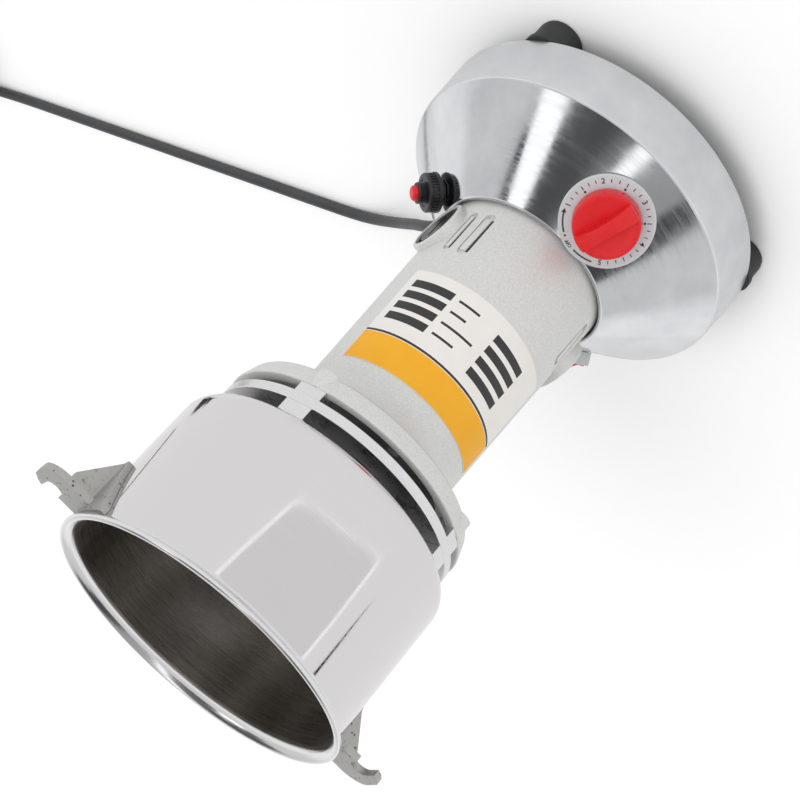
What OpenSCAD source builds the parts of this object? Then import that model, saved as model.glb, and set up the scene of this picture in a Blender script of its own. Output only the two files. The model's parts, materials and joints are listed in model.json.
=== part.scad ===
// Electric grain mill with a swing bowl: a round base with a minute timer, a motor housing,
// a slotted cooling ring and an open steel bowl with two lid claws.
// +Z is up, the origin is on the floor under the bowl's axis, and the dial faces -Y. Millimetres.

/* [Base] */
// Height of the rubber feet
foot_h = 14.5; // [10:0.5:22]
// Diameter of a foot where it meets the base
foot_d = 24; // [20:0.2:25]
// Diameter of a foot on the floor
foot_tip_d = 22.5; // [16:0.5:24]
// Distance of the feet from the axis
foot_circle_r = 74; // [66:0.5:74]
// Diameter of the base at its lower edge
skirt_d = 168; // [150:1:202]
// Height of the upright skirt
skirt_h = 26.1; // [22:0.1:40]
// How much narrower the skirt is at the crease
skirt_draft = 2.3; // [0:0.1:6]
// Height of the cone above the crease
cone_h = 34.6; // [28:0.2:40]
// Wall of the cast base
shell_t = 2.5; // [2:0.1:3.2]
// Gap between the housing and its socket in the base
socket_gap = 1.1; // [0.5:0.1:2]
// Depth of that socket
socket_depth = 5; // [3:0.5:7]
// Width of the light lip round the socket
lip_w = 1.7; // [1:0.1:3]
// Thickness of the bottom plate
plate_t = 2; // [1.5:0.1:3]

/* [Timer dial] */
// Direction of the dial round the axis
dial_az = -90.2; // [-100:0.2:-80]
// Distance of the dial's centre from the axis
dial_r = 58; // [56:0.2:60]
// Diameter of the dial plate
dial_d = 41.9; // [38:0.1:43]
// Thickness of the dial plate
dial_t = 1.5; // [1:0.1:2]
// Diameter of the knob
knob_d = 30.2; // [26:0.2:34]
// Height of the knob's round part
knob_h = 8; // [6:0.5:9]
// Height of the grip above the round part
grip_h = 6; // [3:0.5:8]
// Width of the grip
grip_w = 6.5; // [5:0.5:9]
// Turn of the knob from OFF to the last minute
knob_turn = 310; // [180:5:330]
// Diameter of the timer's shaft
timer_shaft_d = 6; // [5:0.5:7]
// Diameter of the timer's case
timer_case_d = 30; // [26:1:31]
// Length of the timer's case
timer_case_l = 18; // [12:1:20]

/* [Reset breaker and switch] */
// Direction of the breaker round the axis
breaker_az = 15; // [12:1:30]
// Distance of the breaker from the axis, on the cone
breaker_r = 51; // [50.8:0.2:58]
// Diameter of the breaker's threaded neck
neck_d = 10; // [8:0.5:11]
// Length of the neck above the cone
neck_l = 12.4; // [11:0.1:16]
// Diameter of the knurled nut
nut_d = 18.8; // [16:0.2:19]
// Thickness of the knurled nut
nut_t = 6.5; // [4:0.1:7]
// Diameter of the red reset button
button_d = 7.2; // [5:0.1:7.4]
// Travel of the reset button
button_travel = 1.8; // [1:0.1:2.2]
// Direction of the rocker switch round the axis
switch_az = 148; // [136:1:156]
// Distance of the switch from the axis, on the cone
switch_r = 62.4; // [58:0.2:64]
// Width of the switch frame
switch_w = 10.5; // [9:0.5:13]
// Length of the switch frame, up the slope
switch_l = 15; // [13:0.5:18]
// Height of the switch frame above the cone
switch_h = 6.5; // [6:0.5:10]
// Tilt of the rocker either side of level
rocker_tilt = 8; // [5:0.5:9]

/* [Motor housing] */
// Diameter of the barrel where it enters the base
barrel_d = 82; // [78:0.5:84]
// Diameter of the barrel below the flare
barrel_top_d = 77.4; // [75:0.2:80]
// Length of the barrel, from its seat to the flare
barrel_l = 114; // [108:1:140]
// Wall of the barrel
barrel_t = 3; // [2:0.1:3.2]
// Height of the flare below the flange's band
flare_h = 16.4; // [13:0.2:20]
// How far the flare spreads beyond the barrel
flare_w = 17.9; // [16:0.1:19]
// Height of the flange's band
band_h = 9.1; // [6:0.1:12]
// Diameter of the flange at its top
flange_d = 120.4; // [118:0.2:126]
// Height of the brushes above the floor
brush_z = 92.1; // [92:0.1:97]
// Diameter of the two brush bosses
boss_d = 28; // [24:0.2:28]
// Reach of the bosses from the axis
boss_reach = 43.2; // [41.5:0.1:46]
// Length of the ventilation slots
slot_l = 24.4; // [18:0.2:26]
// Width of the ventilation slots
slot_w = 4.2; // [3:0.1:5]
// Height of the label above the barrel's seat
label_z = 52; // [45:0.5:60]
// Height of the label itself
label_h = 54; // [30:0.5:56]

/* [Cooling ring] */
// Outer diameter of the ring
ring_d = 119.5; // [116:0.5:124]
// Thickness of the ring
ring_t = 4.6; // [3:0.1:7]
// Height of the pads below the ring
lower_pad_h = 4.8; // [3:0.1:8]
// Height of the pads above the ring
upper_pad_h = 6.4; // [6:0.1:10]
// Arc of each pad, in degrees
pad_arc = 12; // [10:0.5:16]

/* [Bowl] */
// Outer diameter of the bowl's wall
bowl_d = 133.2; // [128:0.2:150]
// Height of the bowl
bowl_h = 78.2; // [70:0.2:110]
// Sheet thickness of the bowl
bowl_t = 1.5; // [1:0.1:2.5]
// Radius of the bowl's lower corner
corner_r = 8.5; // [5:0.5:9]
// Width of the rim beyond the wall
rim_w = 4; // [3:0.1:6]
// Thickness of the rim
rim_t = 2.7; // [2:0.1:4]
// Length of the lower blade
blade_l = 110; // [90:1:118]
// Width of the blades
blade_w = 17; // [13:0.5:20]
// Thickness of the claws' hook plate
hook_t = 3; // [2.5:0.1:4]

/* [Mains lead] */
// Diameter of the lead
cord_d = 6.2; // [5:0.1:6.6]
// Turns in the coil of spare lead
coil_turns = 4.4; // [2.4:1:5.4]
// Distance between neighbouring turns, centre to centre
coil_pitch = 6.8; // [6.7:0.1:7.5]
// Radius of the coil's outermost turn, at the lead's centre
coil_r = 42.5; // [42.5:0.5:60]

/* [Hidden] */
$fn = 64;

eps = 0.01;             // overlap that keeps cuts and joined solids clean
seat = 0.05;            // gap of parts that sit on or in each other
run = 0.06;             // radial gap of shafts in their bores
air = 0.3;              // gap between parts that only lie close

// Heights above the floor
z_skirt = foot_h;
z_crease = z_skirt + skirt_h;
z_cone = z_crease + cone_h;
z_seat = z_cone - socket_depth;
z_flare = z_seat + barrel_l;
z_band = z_flare + flare_h;
z_flange = z_band + band_h;
z_ring = z_flange + lower_pad_h;
z_ring_top = z_ring + ring_t;
z_bowl = z_ring_top + upper_pad_h;
z_rim = z_bowl + bowl_h;

// Base cone: radius falls by cone_run per millimetre of height
crease_r = skirt_d / 2 - skirt_draft / 2;
hole_r = barrel_d / 2 + socket_gap;
cone_top_r = hole_r + lip_w;
cone_run = (crease_r - cone_top_r) / cone_h;
cone_tilt = atan2(cone_h, crease_r - cone_top_r);   // tilt of the cone's normal from upright
shelf_r = 29;           // inner radius of the ledge that carries the housing
skirt_in_r = skirt_d / 2 - shell_t;
feet_az = [-30, -150, 90];
plate_screw_az = [28, 152, -92];
plate_screw_r = 74;
post_r = 4;

// Screws: shank and head radii, and head heights
m3_r = 1.5;
m3_head_r = 2.8;
m3_head_h = 1.8;
m4_r = 2;
m4_head_r = 3.6;
m4_head_h = 2.4;
screw_gap = 0.15;       // gap of a shank in its clearance hole
frame_az = [45, 135, 225, 315];

// Dial, in heights along the cone's normal
pad_rise = 0.3;
pad_depth = 3.5;
pad_r = 17;
knob_lift = 0.4;
z_knob = pad_rise + dial_t + knob_lift;
off_az = 171;           // direction of OFF in the dial plane, from downslope
timer_depth = 11;
timer_post_y = 11;
shaft_in_case = 5;

// Breaker and switch, in heights along the cone's normal
collar_h = 2.2;
breaker_inner_h = 8;    // length of the narrow neck under the cone
breaker_case_r = 6.5;
breaker_case_l = 16;
button_out = 2.3;
button_bottom = 1;
pocket_w = switch_w - 2.4;
pocket_l = switch_l - 2.4;
rocker_z = switch_h - 2;
switch_floor = rocker_z - 2.6;  // top of the switch body inside its frame
rocker_pin_r = 1;

// Motor
barrel_r = barrel_d / 2;
barrel_top_r = barrel_top_d / 2;
function barrel_at(z) = barrel_r + (barrel_top_r - barrel_r) * (z - z_seat) / barrel_l;
bracket_t = 3;
lower_bearing = [4, 11, 7];     // bore radius, outer radius and length
upper_bearing = [6, 16, 10];
z_lower_bearing = z_seat + bracket_t + 2;
z_upper_bearing = z_band - 9.6;
z_deck = z_band;                // top of the deck inside the flange
deck_t = 4.5;
bracket_r = 42;                 // radius of the plate in the deck that holds the upper bearing
bracket_screw_r = 39;
bracket_screw_l = 4.5;          // depth of its screws in the housing
bracket_az = [0, 90, 180, 270];
frame_post_r = 34.2;            // circle of the four screws that hold the housing
core_z = brush_z + 18.6;        // lower end of both iron cores
core_l = 42;
core_r = barrel_at(core_z + core_l) - barrel_t - air;
armature_r = 18.5;
air_gap = 0.6;
commutator_r = 13;
commutator_l = 17;
holder_r = 8;
cap_r = boss_d / 2 - 1.9;
cap_depth = 5.6;
brush_w = 6;
brush_h = 8;
brush_l = 15;
shaft_r = 5;
fan_z = core_z + core_l + 14;
fan_r = 31;
slot_z = 12.7;                  // slots start this far above the barrel's seat
brush_az = [-2, 178];
slot_off = [24.1, 36.7];        // directions of the slots, from the brushes' direction
slot_depth = 1.5;
slit_w = 1.1;
label_az = [-150, -20];
label_t = 0.25;

// Ring, bowl and blades
bowl_r = bowl_d / 2;
rim_r = bowl_r + rim_w;
bowl_floor = z_bowl + bowl_t;
bowl_screw_r = 54.5;
pad_in_r = 49;
ring_in_r = 46;
seal_r = 8;
hub_r = 11;
hub_flange_r = 17;
hub_flange_h = 2.5;
z_lower_blade = bowl_floor + 8.5;
blade_t = 2;
spacer_h = 9;
z_upper_blade = z_lower_blade + blade_t + spacer_h;
upper_blade_l = blade_l - 22;
blade_nut_h = 7;
shaft_end = z_upper_blade + blade_t + blade_nut_h + 2;
z_hook = z_rim - 10.6;
claw_h = 27.7;                  // height of the claw's wall plate
claw_t = 2.4;

// Mains lead: the route of the free lead, chosen by hand
cord_r = cord_d / 2;
tie_t = 1;
coil_z = cord_r + tie_t + 0.3;
route = [
    [23.4, 103, 22.5], [24.9, 109.6, 22.5], [26.4, 116.2, 21.5], [27.9, 124.2, 19.1],
    [29.3, 133, 15.9], [30.7, 142.6, 12.8], [32.3, 152.4, 9.8], [34.6, 162, 7.4],
    [37.5, 171.5, 5.5], [41.2, 180.6, 4.2], [46.1, 189.5, 3.4], [53, 198.9, 3.1],
    [60.7, 208.1, 3.1], [69.6, 218.5, 3.1], [80.1, 230.8, 3.1], [93.4, 246.3, 3.1],
    [106.4, 261.6, 3.1], [120.3, 277.9, 3.1], [133.9, 293.9, 3.1], [148.5, 310.9, 3.1],
    [163.3, 328.3, 3.1], [178.5, 346.1, 3.1], [193.5, 363.7, 3.1], [208.8, 381.6, 3.1],
    [223.8, 399.2, 3.1], [234.2, 411.4, 3.3], [244.6, 423.5, 3.8], [255, 435.7, 4.4],
    [264.6, 448.5, 4.4]
];
gland_reach = norm([route[0].x, route[0].y]);
gland_az = atan2(route[0].y, route[0].x);
route_end = route[len(route) - 1];
coil_heading = atan2(4, 3);     // direction in which the lead runs into the coil
coil_lead = cord_d;             // straight start of the coil; its end runs on twice as far
coil_c = [
    route_end.x + coil_lead * cos(coil_heading) + coil_r * sin(coil_heading),
    route_end.y + coil_lead * sin(coil_heading) - coil_r * cos(coil_heading)
];
coil_span = coil_turns * 360;
coil_rings = 24;
plug_heading = coil_heading - coil_span;
function coil_radius(t) = coil_r - coil_pitch * (coil_span / 2 - abs(t - coil_span / 2)) / 360;
function ease(u) = let (c = min(1, max(0, u))) c * c * (3 - 2 * c);
function coil_point(t) =
    let (a = coil_heading + 90 - t, r = coil_radius(t))
    [coil_c.x + r * cos(a), coil_c.y + r * sin(a),
     coil_z + coil_pitch * ease((t - coil_span / 2 + 90) / 180)];
coil_path = concat(
    [route_end],
    [for (k = [0 : floor(coil_turns * coil_rings)]) coil_point(k * 360 / coil_rings)],
    [coil_point(coil_span)],
    [coil_point(coil_span) + 2 * coil_lead * [cos(plug_heading), sin(plug_heading), 0]]
);
coil_end = coil_path[len(coil_path) - 1];
coil_gap = min([
    for (i = [0 : len(coil_path) - 1], j = [i + coil_rings / 2 : 1 : len(coil_path) - 1])
        norm(coil_path[i] - coil_path[j])
]) - cord_d;
echo(least_gap_of_the_coil_to_itself = coil_gap);

// A station on the cone, with local +Z along its outward normal and +X down the slope
module on_cone(az, r) {
    rotate([0, 0, az])
        translate([r, 0, z_crease + (crease_r - r) / cone_run])
            rotate([0, cone_tilt, 0]) children();
}

module at_az(angles, r, z = 0) {
    for (a = angles) rotate([0, 0, a]) translate([r, 0, z]) children();
}

module tube(outer, inner, h) {
    difference() {
        cylinder(r = outer, h = h);
        translate([0, 0, -eps]) cylinder(r = inner, h = h + 2 * eps);
    }
}

module plate_box(size, z = 0) {
    translate([-size.x / 2, -size.y / 2, z]) cube(size);
}

// A round tube swept along a path, with flat ends square to its first and last stretch
function unit(v) = v / norm(v);
function along(p, i) = unit(p[min(i + 1, len(p) - 1)] - p[max(i - 1, 0)]);
function ring_at(p, i, r, sides) =
    let (t = along(p, i), s = unit(cross(t, [0, 0, 1])), u = cross(s, t))
    [for (k = [0 : sides - 1]) p[i] + r * (cos(360 * k / sides) * s + sin(360 * k / sides) * u)];
module swept_tube(path, r, sides) {
    n = len(path);
    points = [for (i = [0 : n - 1]) each ring_at(path, i, r, sides)];
    walls = [
        for (i = [0 : n - 2], k = [0 : sides - 1])
            let (m = (k + 1) % sides, a = i * sides)
            each [[a + k, a + sides + k, a + sides + m], [a + k, a + sides + m, a + m]]
    ];
    last = (n - 1) * sides;
    start = [for (k = [1 : sides - 2]) [0, k, k + 1]];
    end = [for (k = [1 : sides - 2]) [last, last + k + 1, last + k]];
    polyhedron(points, concat(walls, start, end));
}

// ---- Base ----

module base_shell() {
    offset_r = shell_t / sin(cone_tilt);
    socket_r = hole_r + shell_t;
    profile = [
        [skirt_d / 2, z_skirt], [crease_r, z_crease], [cone_top_r, z_cone],
        [cone_top_r - 0.4, z_cone + 0.6], [hole_r + 0.4, z_cone + 0.6], [hole_r, z_cone + 0.2],
        [hole_r, z_seat], [shelf_r, z_seat], [shelf_r, z_seat - shell_t],
        [socket_r, z_seat - shell_t],
        [socket_r, z_crease + (crease_r - offset_r - socket_r) / cone_run],
        [crease_r - shell_t, z_crease + (shell_t - offset_r) / cone_run],
        [skirt_in_r, z_skirt]
    ];
    post_top = z_crease + (crease_r - plate_screw_r - post_r) / cone_run - shell_t / 2;
    color("gainsboro") difference() {
        union() {
            rotate_extrude() polygon(profile);
            on_cone(dial_az, dial_r) {
                translate([0, 0, -pad_depth]) cylinder(r = pad_r, h = pad_depth + pad_rise);
                for (s = [-1, 1])
                    translate([0, s * timer_post_y, -timer_depth])
                        cylinder(r = 3, h = timer_depth - pad_depth + 1);
            }
            at_az(plate_screw_az, plate_screw_r, z_skirt + plate_t + seat)
                cylinder(r = post_r, h = post_top - z_skirt - plate_t);
        }
        on_cone(dial_az, dial_r) {
            translate([0, 0, -timer_depth]) cylinder(r = timer_shaft_d / 2 + air, h = 2 * timer_depth);
            for (s = [-1, 1]) translate([0, s * timer_post_y, 0]) {
                translate([0, 0, -timer_depth - 1])
                    cylinder(r = m3_r + screw_gap, h = timer_depth + 2);
                translate([0, 0, pad_rise - m3_head_h - seat])
                    cylinder(r = m3_head_r + screw_gap, h = m3_head_h + 1);
            }
        }
        on_cone(breaker_az, breaker_r)
            translate([0, 0, -breaker_inner_h])
                cylinder(r = neck_d / 2 + screw_gap, h = 2 * breaker_inner_h);
        on_cone(switch_az, switch_r) plate_box([pocket_l, pocket_w, 3 * shell_t], -2 * shell_t);
        rotate([0, 0, gland_az]) translate([crease_r - 3 * shell_t, 0, route[0].z])
            rotate([0, 90, 0]) cylinder(r = 5, h = 6 * shell_t);
        at_az(plate_screw_az, plate_screw_r, z_skirt) cylinder(r = m3_r + seat, h = plate_t + 9);
        at_az(frame_az, frame_post_r, z_seat - shell_t - 1)
            cylinder(r = m4_r + screw_gap, h = shell_t + 2);
    }
}

module base_plate() {
    color("dimgray") difference() {
        union() {
            translate([0, 0, z_skirt]) cylinder(r = skirt_in_r - air, h = plate_t);
            at_az(feet_az, foot_circle_r, z_skirt + plate_t - eps) cylinder(r = 5, h = 3);
        }
        at_az(feet_az, foot_circle_r, z_skirt - 1) cylinder(r = m4_r + seat, h = plate_t + 5);
        at_az(plate_screw_az, plate_screw_r, z_skirt - 1)
            cylinder(r = m3_r + screw_gap, h = plate_t + 2);
    }
}

module base_plate_screws() {
    color("silver") at_az(plate_screw_az, plate_screw_r, z_skirt - m3_head_h) {
        cylinder(r = m3_head_r, h = m3_head_h);
        cylinder(r = m3_r, h = m3_head_h + plate_t + 8);
    }
}

module feet() {
    recess_h = foot_h / 2;
    color("#1c1c1e") at_az(feet_az, foot_circle_r) difference() {
        union() {
            cylinder(r1 = foot_tip_d / 2 - 1, r2 = foot_tip_d / 2, h = 1.5);
            translate([0, 0, 1.5]) cylinder(r1 = foot_tip_d / 2, r2 = foot_d / 2 - 1, h = foot_h - 4.5);
            translate([0, 0, foot_h - 3]) cylinder(r = foot_d / 2, h = 3);
        }
        translate([0, 0, -1]) cylinder(r = m4_head_r + 1.4, h = recess_h + 1);
        cylinder(r = m4_r + screw_gap, h = foot_h + 1);
    }
}

module foot_screws() {
    color("silver") at_az(feet_az, foot_circle_r, foot_h / 2 - m4_head_h) {
        cylinder(r = m4_head_r, h = m4_head_h);
        cylinder(r = m4_r, h = m4_head_h + foot_h / 2 + plate_t + 3);
    }
}

// ---- Timer ----

module dial_plate() {
    color("silver") on_cone(dial_az, dial_r) translate([0, 0, pad_rise])
        tube(dial_d / 2, timer_shaft_d / 2 + 2, dial_t);
}

module timer_knob() {
    bore_h = knob_h + grip_h - 4;
    color("#d5232b") on_cone(dial_az, dial_r) rotate([0, 0, off_az]) translate([0, 0, z_knob]) {
        difference() {
            union() {
                cylinder(r1 = knob_d / 2 - 0.6, r2 = knob_d / 2, h = 1.2);
                translate([0, 0, 1.2]) cylinder(r1 = knob_d / 2, r2 = knob_d / 2 - 0.8, h = knob_h - 1.2);
                intersection() {
                    plate_box([knob_d, grip_w, knob_h + grip_h]);
                    cylinder(r = knob_d / 2 - 1, h = knob_h + grip_h);
                    translate([0, grip_w, knob_h + grip_h - 2 * knob_d]) rotate([90, 0, 0])
                        cylinder(r = 2 * knob_d, h = 2 * grip_w);
                }
            }
            translate([0, 0, -eps]) cylinder(r = timer_shaft_d / 2 + seat, h = bore_h);
        }
    }
}

module timer_shaft() {
    bottom = -timer_depth - shaft_in_case + 0.5;
    top = z_knob + knob_h + grip_h - 4 - 0.5;
    color("lightgray") on_cone(dial_az, dial_r) translate([0, 0, bottom])
        cylinder(r = timer_shaft_d / 2, h = top - bottom);
}

module timer_case() {
    color("ivory") on_cone(dial_az, dial_r) translate([0, 0, -timer_depth - seat - timer_case_l])
        difference() {
            cylinder(r = timer_case_d / 2, h = timer_case_l);
            translate([0, 0, timer_case_l - shaft_in_case])
                cylinder(r = timer_shaft_d / 2 + run, h = shaft_in_case + 1);
            for (s = [-1, 1]) translate([0, s * timer_post_y, timer_case_l - 5])
                cylinder(r = m3_r + seat, h = 6);
        }
}

module timer_screws() {
    color("silver") on_cone(dial_az, dial_r) for (s = [-1, 1])
        translate([0, s * timer_post_y, pad_rise - m3_head_h]) {
            cylinder(r = m3_head_r, h = m3_head_h - seat);
            translate([0, 0, -timer_depth - 2]) cylinder(r = m3_r, h = timer_depth + 3);
        }
}

// ---- Overload breaker ----

module breaker_body() {
    color("#202022") on_cone(breaker_az, breaker_r) difference() {
        union() {
            translate([0, 0, -breaker_inner_h]) cylinder(r = neck_d / 2, h = breaker_inner_h + neck_l);
            translate([0, 0, -breaker_inner_h - breaker_case_l])
                cylinder(r = breaker_case_r, h = breaker_case_l + eps);
        }
        translate([0, 0, button_bottom - button_travel - 0.5])
            cylinder(r = button_d / 2 + run, h = neck_l + button_travel);
    }
}

module breaker_collar() {
    color("#1a1a1c") on_cone(breaker_az, breaker_r) translate([0, 0, 2 * seat])
        tube(neck_d / 2 + 1.2, neck_d / 2 + seat, collar_h - 3 * seat);
}

module breaker_nut() {
    ribs = 24;
    color("#19191b") on_cone(breaker_az, breaker_r) translate([0, 0, collar_h]) difference() {
        union() {
            cylinder(r = nut_d / 2, h = nut_t * 0.3);
            cylinder(r = nut_d / 2 - 0.7, h = nut_t);
            translate([0, 0, nut_t * 0.75]) cylinder(r = nut_d / 2 - 0.3, h = nut_t * 0.25);
            for (k = [1 : ribs]) rotate([0, 0, k * 360 / ribs])
                translate([nut_d / 2 - 1.5, -0.5, nut_t * 0.25]) cube([1.05, 1, nut_t * 0.55]);
        }
        translate([0, 0, -eps]) cylinder(r = neck_d / 2 + seat, h = nut_t + 2 * eps);
    }
}

module reset_button() {
    color("#d9252b") on_cone(breaker_az, breaker_r) translate([0, 0, button_bottom]) {
        h = neck_l + button_out - button_bottom;
        cylinder(r = button_d / 2, h = h - 0.6);
        translate([0, 0, h - 0.6]) cylinder(r1 = button_d / 2, r2 = button_d / 2 - 0.6, h = 0.6);
    }
}

// ---- Rocker switch ----

module switch_frame() {
    color("lightgray") on_cone(switch_az, switch_r) difference() {
        plate_box([switch_l, switch_w, switch_h - seat], seat);
        plate_box([pocket_l, pocket_w, switch_h + 2], -1);
        translate([0, switch_w / 2 - 0.5, rocker_z]) rotate([90, 0, 0])
            cylinder(r = rocker_pin_r + run, h = switch_w - 1);
    }
}

module switch_body() {
    body_h = 18;
    color("#222224") on_cone(switch_az, switch_r)
        plate_box([pocket_l - 2 * seat, pocket_w - 2 * seat, body_h], switch_floor - body_h);
}

module switch_rocker() {
    l = pocket_l / 2 - 0.6;
    outline = [
        [-l, -1], [0, -2], [l, -1], [l, 3.4], [0, 2.3], [-l, 3.4]
    ];
    color("#d9252b") on_cone(switch_az, switch_r)
    translate([0, 0, rocker_z]) rotate([0, rocker_tilt, 0]) {
        translate([0, pocket_w / 2 - air, 0]) rotate([90, 0, 0])
            linear_extrude(pocket_w - 2 * air) polygon(outline);
        translate([0, switch_w / 2 - 0.6, 0]) rotate([90, 0, 0])
            cylinder(r = rocker_pin_r, h = switch_w - 1.2);
    }
}

// ---- Wiring in the base ----

module terminal_block() {
    ways = 4;
    pitch = 8;
    color("whitesmoke") rotate([0, 0, 118]) translate([52, 0, z_skirt + plate_t]) difference() {
        plate_box([13, ways * pitch, 12]);
        for (k = [0 : ways - 1]) translate([0, (k - (ways - 1) / 2) * pitch, 6]) cylinder(r = 2, h = 7);
    }
}

module suppressor() {
    color("goldenrod") rotate([0, 0, -158]) translate([50, 0, z_skirt + plate_t]) plate_box([9, 22, 16]);
}

// ---- Mains lead ----

module cord_gland() {
    flange_h = 2.5;
    length = gland_reach - skirt_d / 2 - air - 2 * seat;
    ribs = 6;
    rib_pitch = (length - flange_h - 0.2) / (ribs + 0.5);
    color("#1d1d1f") rotate([0, 0, gland_az])
        translate([skirt_d / 2 + air, 0, route[0].z]) rotate([0, 90, 0]) {
            cylinder(r = 8, h = flange_h);
            cylinder(r1 = 6, r2 = cord_r + 1, h = length);
            for (k = [1 : ribs]) translate([0, 0, flange_h + k * rib_pitch])
                cylinder(r1 = 6.1 - k * 0.28, r2 = 5.9 - k * 0.28, h = rib_pitch / 2);
            translate([0, 0, -7]) cylinder(r = 4.8, h = 7 + eps);
            translate([0, 0, -9]) cylinder(r = 5.8, h = 3);
        }
}

module cord_free() {
    color("#3b3d40") swept_tube(route, cord_r, 8);
}

module cord_coil() {
    color("#3b3d40") swept_tube(coil_path, cord_r, 6);
}

module cord_tie() {
    tie_az = 250;
    tie_w = 8;
    turn_t = coil_heading + 90 - tie_az;
    radii = [for (k = [0 : ceil(coil_turns)])
        let (t = turn_t + 360 * k) if (t >= 0 && t <= coil_span) coil_radius(t)];
    in_r = min(radii) - cord_r - 3 * air;
    out_r = max(radii) + cord_r + air;
    top = coil_z + coil_pitch + cord_r + air;
    color("#26272a") translate([coil_c.x, coil_c.y, 0]) rotate([0, 0, tie_az])
        translate([0, tie_w / 2, 0]) rotate([90, 0, 0]) linear_extrude(tie_w) difference() {
            translate([in_r - tie_t, 0]) square([out_r - in_r + 2 * tie_t, top + tie_t]);
            translate([in_r, tie_t]) square([out_r - in_r, top - tie_t]);
        }
}

// Local +X runs on from the lead, local Z = 0 is the lead's centre
module at_plug() {
    translate(coil_end) rotate([0, 0, plug_heading]) children();
}

boot_l = 22;
plug_l = 30;
plug_w = 27;

module plug_body() {
    half_h = coil_end.z;
    color("#222326") at_plug() {
        rotate([0, 90, 0]) cylinder(r1 = cord_r + 1, r2 = 7, h = boot_l + 1);
        translate([boot_l, 0, 0]) intersection() {
            rotate([0, 90, 0]) cylinder(r = plug_w / 2 + 0.8, h = plug_l);
            translate([0, -plug_w / 2, -half_h]) cube([plug_l, plug_w, 2 * half_h]);
        }
    }
}

module plug_pins() {
    blade = [17, 1.5, 6.3];
    blade_y = 6.35;
    blade_drop = 4;
    earth_rise = 7.9;
    color("gold") at_plug() translate([boot_l + plug_l, 0, 0]) {
        for (s = [-1, 1]) translate([0, s * blade_y - blade.y / 2, -blade_drop - blade.z / 2]) cube(blade);
        translate([0, 0, earth_rise]) rotate([0, 90, 0]) cylinder(r = 2.4, h = blade.x + 3);
    }
}

// ---- Motor housing ----

module slot_cut(w, r0, r1) {
    for (z = [slot_w / 2, slot_l - slot_w / 2]) translate([r0, 0, z])
        rotate([0, 90, 0]) cylinder(r = w / 2, h = r1 - r0);
    translate([r0, -w / 2, slot_w / 2]) cube([r1 - r0, w, slot_l - slot_w]);
}

module motor_housing() {
    flare_bow = 0.16;       // how hollow the flare is, as a share of its run
    flare = [for (t = [0 : 0.125 : 1]) [
        barrel_top_r + flare_w * (t - flare_bow * sin(180 * t)),
        z_flare + flare_h * (t + flare_bow * sin(180 * t))
    ]];
    band_r = barrel_top_r + flare_w;
    top_in_r = flange_d / 2 - 5;
    profile = concat(
        [[barrel_r - barrel_t, z_seat], [barrel_r, z_seat]], flare,
        [[band_r + 0.8, z_band + 0.5], [flange_d / 2, z_flange], [top_in_r, z_flange],
         [top_in_r, z_deck], [bracket_r + seat, z_deck], [bracket_r + seat, z_deck - deck_t],
         [barrel_top_r - barrel_t, z_deck - deck_t], [barrel_top_r - barrel_t, z_flare]]
    );
    color("#d3d4d5") difference() {
        union() {
            rotate_extrude() polygon(profile);
            at_az(frame_az, bowl_screw_r, z_deck - eps) cylinder(r = 5.5, h = z_flange - z_deck + eps);
            at_az(frame_az, frame_post_r, z_seat + bracket_t + seat) cylinder(r = 4.2, h = 17);
            at_az(brush_az, 28, brush_z) rotate([0, 90, 0]) cylinder(r = boss_d / 2, h = boss_reach - 28);
        }
        at_az(bracket_az, bracket_screw_r, z_deck - deck_t - bracket_screw_l)
            cylinder(r = m3_r + seat, h = bracket_screw_l + 1);
        at_az(frame_az, bowl_screw_r, z_deck - 2) cylinder(r = m4_r + seat, h = z_flange - z_deck + 3);
        at_az(frame_az, frame_post_r, z_seat) cylinder(r = m4_r + seat, h = 19);
        at_az(brush_az, 0, brush_z) rotate([0, 90, 0]) {
            translate([0, 0, 27]) cylinder(r = holder_r + seat, h = 20);
            translate([0, 0, boss_reach - cap_depth]) cylinder(r = cap_r + seat, h = cap_depth + 1);
        }
        for (a = brush_az, s = [-1, 1], o = slot_off) at_az([a + s * o], 0, z_seat + slot_z) {
            slot_cut(slot_w, barrel_r - slot_depth - 0.1, barrel_r + 1);
            translate([0, s * (slot_w / 2 - slit_w), 0])
                slot_cut(slit_w, barrel_r - 2 * barrel_t, barrel_r + 1);
        }
    }
}

module upper_bracket() {
    color("darkgray") difference() {
        union() {
            translate([0, 0, z_deck - deck_t + seat]) cylinder(r = bracket_r, h = deck_t - seat);
            translate([0, 0, z_upper_bearing]) cylinder(r = upper_bearing[1] + 4, h = z_deck - z_upper_bearing);
        }
        translate([0, 0, z_upper_bearing - 1])
            cylinder(r = upper_bearing[1] + seat, h = upper_bearing[2] - 1);
        translate([0, 0, z_deck - deck_t]) cylinder(r = upper_bearing[0] + 1.5, h = 2 * deck_t);
        at_az(bracket_az, bracket_screw_r, z_deck - deck_t - 1)
            cylinder(r = m3_r + screw_gap, h = deck_t + 2);
    }
}

module bracket_screws() {
    color("silver") at_az(bracket_az, bracket_screw_r, z_deck - deck_t - bracket_screw_l + 0.5) {
        cylinder(r = m3_r, h = deck_t + bracket_screw_l);
        translate([0, 0, deck_t + bracket_screw_l - 0.5 + seat])
            cylinder(r = m3_head_r - 0.2, h = m3_head_h);
    }
}

module label() {
    z0 = z_seat + label_z;
    z1 = z0 + label_h;
    skin = [
        [barrel_at(z0) + seat, z0], [barrel_at(z0) + seat + label_t, z0],
        [barrel_at(z1) + seat + label_t, z1], [barrel_at(z1) + seat, z1]
    ];
    color("#f1efe9") rotate([0, 0, label_az[0]])
        rotate_extrude(angle = label_az[1] - label_az[0]) polygon(skin);
}

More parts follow.
